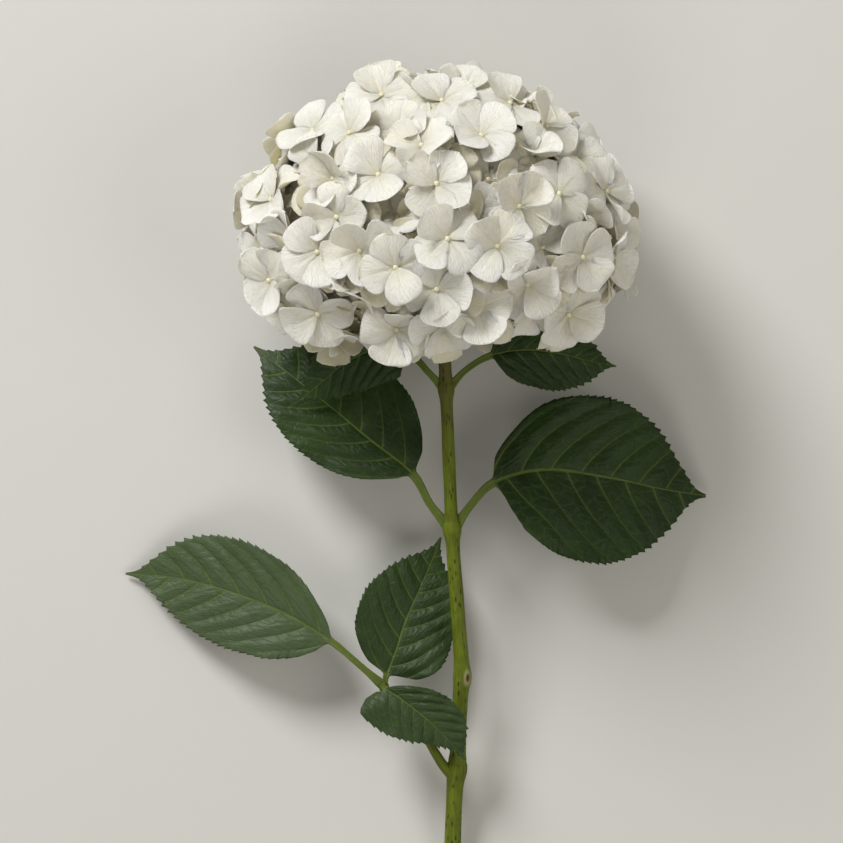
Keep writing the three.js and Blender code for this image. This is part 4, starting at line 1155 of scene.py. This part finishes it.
class GrowStem(bpy.types.Operator):
    """Grow the main stem with its joints, leaf scar and cut end, and the side shoot"""

    bl_idname = "hydrangea.grow_stem"
    bl_label = "Stem"

    def execute(self, context):
        settings = context.scene.hydrangea_stem
        material = stem_material(settings)
        self.grow_main(settings, material)
        self.grow_shoot(settings, material)
        return {"FINISHED"}

    def grow_main(self, settings, material):
        """The skin: rings round the middle line, ribbed in fives that slowly turn, with a raised oval scar.
        The cut end leans, and rings inside it reach the pith in the same plane."""
        around = settings.around
        points, along = along_path(smooth_path(stem_line(), 900), np.linspace(0, 1, settings.along))
        centre, radii = points[:, :3], points[:, 3:]
        turn = np.arange(around)[None, :] / around
        y = centre[:, 1:2]
        ribs = np.cos(2 * np.pi * (5 * turn + 0.004 * y)) + 0.6 * np.cos(2 * np.pi * (3 * turn - 0.006 * y))
        lumps = 0.35 * np.sin(0.23 * y + 2 * np.pi * turn) + 0.3 * np.sin(0.11 * y + 4 * np.pi * turn + 1)
        reach = radii * (1 + settings.ribbing * (ribs + lumps))
        for joint in JOINTS.values():
            off = y - STEM[joint, 1]
            bulge = 0.5 * np.exp(-(((off - 1.5) / 4.5) ** 2))
            reach = reach + bulge - 0.3 * np.exp(-(((off - 4.5) / 0.8) ** 2))
        scar_along = (y - SCAR["y"]) / SCAR["length"]
        scar_away = np.sqrt(scar_along ** 2 + ((turn - SCAR["turn"]) / SCAR["width"]) ** 2)
        scar = np.exp(-(scar_away ** 2) * 1.4)
        scar_rim = 0.75 * np.exp(-((scar_away - 0.55) / 0.4) ** 2)
        reach = reach + scar_rim - 0.45 * np.exp(-((scar_away / 0.3) ** 2))
        crown = np.exp(-(((y - STEM[-1, 1]) / 8) ** 2))
        reach = reach + crown * (0.8 + 0.35 * np.cos(2 * np.pi * 8 * turn))
        rings = tube_rings(centre, along, reach, around)
        lean = np.tan(CUT_SLANT) * np.exp(-np.arange(settings.along) / 5.0)[:, None]
        _, lift = cross_frames(along)
        height = np.sum((rings - centre[:, None]) * lift[:, None], axis=-1)
        rings = rings + along[:, None] * (height * lean)[..., None]
        end = rings[0].mean(axis=0)
        inner = end + (rings[0] - end) * CUT_RINGS
        tones = np.stack(np.broadcast_arrays(ramp(-110, -50, y), scar, 0.0), axis=-1)
        cut_tones = CUT_RINGS * [0, 0, 1] * np.ones((around, 1))
        skin = Skin()
        skin.add(
            np.concatenate([inner, rings]),
            np.concatenate([np.zeros((len(CUT_RINGS), around, 2)), tube_uvs(centre, around)]),
            np.concatenate([cut_tones, tones]),
        )
        finish_piece(skin.make("stem_skin", [material]), "stem", "main_stem")

    def grow_shoot(self, settings, material):
        """A thinner skin, round its own middle line, that closes at the end where its leaves part."""
        line = SHOOT.copy()
        line[:, :3] += joint_point("lower")
        share = np.linspace(0, 1, 120)
        points, along = along_path(smooth_path(line, 300), share)
        centre, radii = points[:, :3], points[:, 3:]
        turn = np.arange(24)[None, :] / 24
        close = np.sqrt(np.clip((1.0 - share[:, None]) / 0.03, 0.02, 1))
        reach = radii * (1 + 0.03 * np.cos(2 * np.pi * 3 * turn)) * close
        skin = Skin()
        skin.add(tube_rings(centre, along, reach, 24), tube_uvs(centre, 24), np.zeros(3))
        finish_piece(skin.make("shoot_skin", [material]), "stem", "side_shoot")


# ------------------------------------------------------------------ stage


class StageSizes(bpy.types.PropertyGroup):
    """The floor's colour and the camera's place"""

    field: length_setting("Field", "Width of the view at the object", 0.4215)
    distance: length_setting("Distance", "Of the camera above the surface", 3.0)
    floor: colour_setting("Floor", "Colour of the floor", 0.62, 0.62, 0.60)


class BuildStage(bpy.types.Operator):
    """Lay the pale floor, and set the lights and the camera that looks straight down"""

    bl_idname = "hydrangea.build_stage"
    bl_label = "Floor, lights and camera"

    def execute(self, context):
        settings = context.scene.hydrangea_stage
        mesh = bpy.data.meshes.new("floor")
        corners = [(x * FLOOR_REACH, y * FLOOR_REACH, 0) for x, y in ((-1, -1), (1, -1), (1, 1), (-1, 1))]
        mesh.from_pydata(corners, [], [(0, 1, 2, 3)])
        mesh.materials.append(floor_material(settings))
        floor = bpy.data.objects.new("floor", mesh)
        context.collection.objects.link(floor)

        world = bpy.data.worlds.new("studio")
        context.scene.world = world
        world.use_nodes = True
        background = world.node_tree.nodes["Background"]
        background.inputs["Color"].default_value = colour(*SKY[0])
        background.inputs["Strength"].default_value = SKY[1]

        centre = (VIEW_CENTRE + SHIFT) * MM
        for name, (place, size, watts, tint) in LIGHTS.items():
            light = bpy.data.lights.new(name, "AREA")
            light.shape = "DISK"
            light.size = size
            light.energy = watts
            light.color = tint
            lamp = bpy.data.objects.new(name, light)
            lamp.location = [c + p for c, p in zip(centre, place)]
            lamp.rotation_mode = "QUATERNION"
            lamp.rotation_quaternion = Vector(-np.array(place)).to_track_quat("-Z", "Y")
            context.collection.objects.link(lamp)

        camera = bpy.data.objects.new("camera", bpy.data.cameras.new("camera"))
        camera.data.sensor_width = SENSOR / MM
        camera.data.lens = SENSOR / MM * (settings.distance - centre[2]) / settings.field
        camera.data.clip_end = 20
        camera.location = (centre[0], centre[1], settings.distance)
        context.collection.objects.link(camera)
        context.scene.camera = camera
        context.scene.view_settings.view_transform = "Standard"
        return {"FINISHED"}


class HydrangeaPanel(bpy.types.Panel):
    """Sidebar tab with a button for each part of the flower and for the stage"""

    bl_label = "Hydrangea"
    bl_idname = "VIEW3D_PT_hydrangea"
    bl_space_type = "VIEW_3D"
    bl_region_type = "UI"
    bl_category = "Hydrangea"

    def draw(self, context):
        for operator in OPERATORS:
            self.layout.operator(operator.bl_idname)


SETTINGS = {
    "hydrangea_florets": FloretSizes,
    "hydrangea_leaves": LeafSizes,
    "hydrangea_stem": StemSizes,
    "hydrangea_stage": StageSizes,
}
OPERATORS = [GrowFlorets, GrowBranches, GrowLeaves, GrowStem, BuildStage]


def register():
    for cls in [*SETTINGS.values(), *OPERATORS, HydrangeaPanel]:
        bpy.utils.register_class(cls)
    for name, cls in SETTINGS.items():
        setattr(bpy.types.Scene, name, PointerProperty(type=cls))


def unregister():
    for name in SETTINGS:
        delattr(bpy.types.Scene, name)
    for cls in reversed([*SETTINGS.values(), *OPERATORS, HydrangeaPanel]):
        bpy.utils.unregister_class(cls)


def main():
    register()
    bpy.ops.hydrangea.grow_florets()
    bpy.ops.hydrangea.grow_branches()
    bpy.ops.hydrangea.grow_leaves()
    bpy.ops.hydrangea.grow_stem()
    bpy.ops.hydrangea.build_stage()
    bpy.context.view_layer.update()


if __name__ == "__main__":
    main()
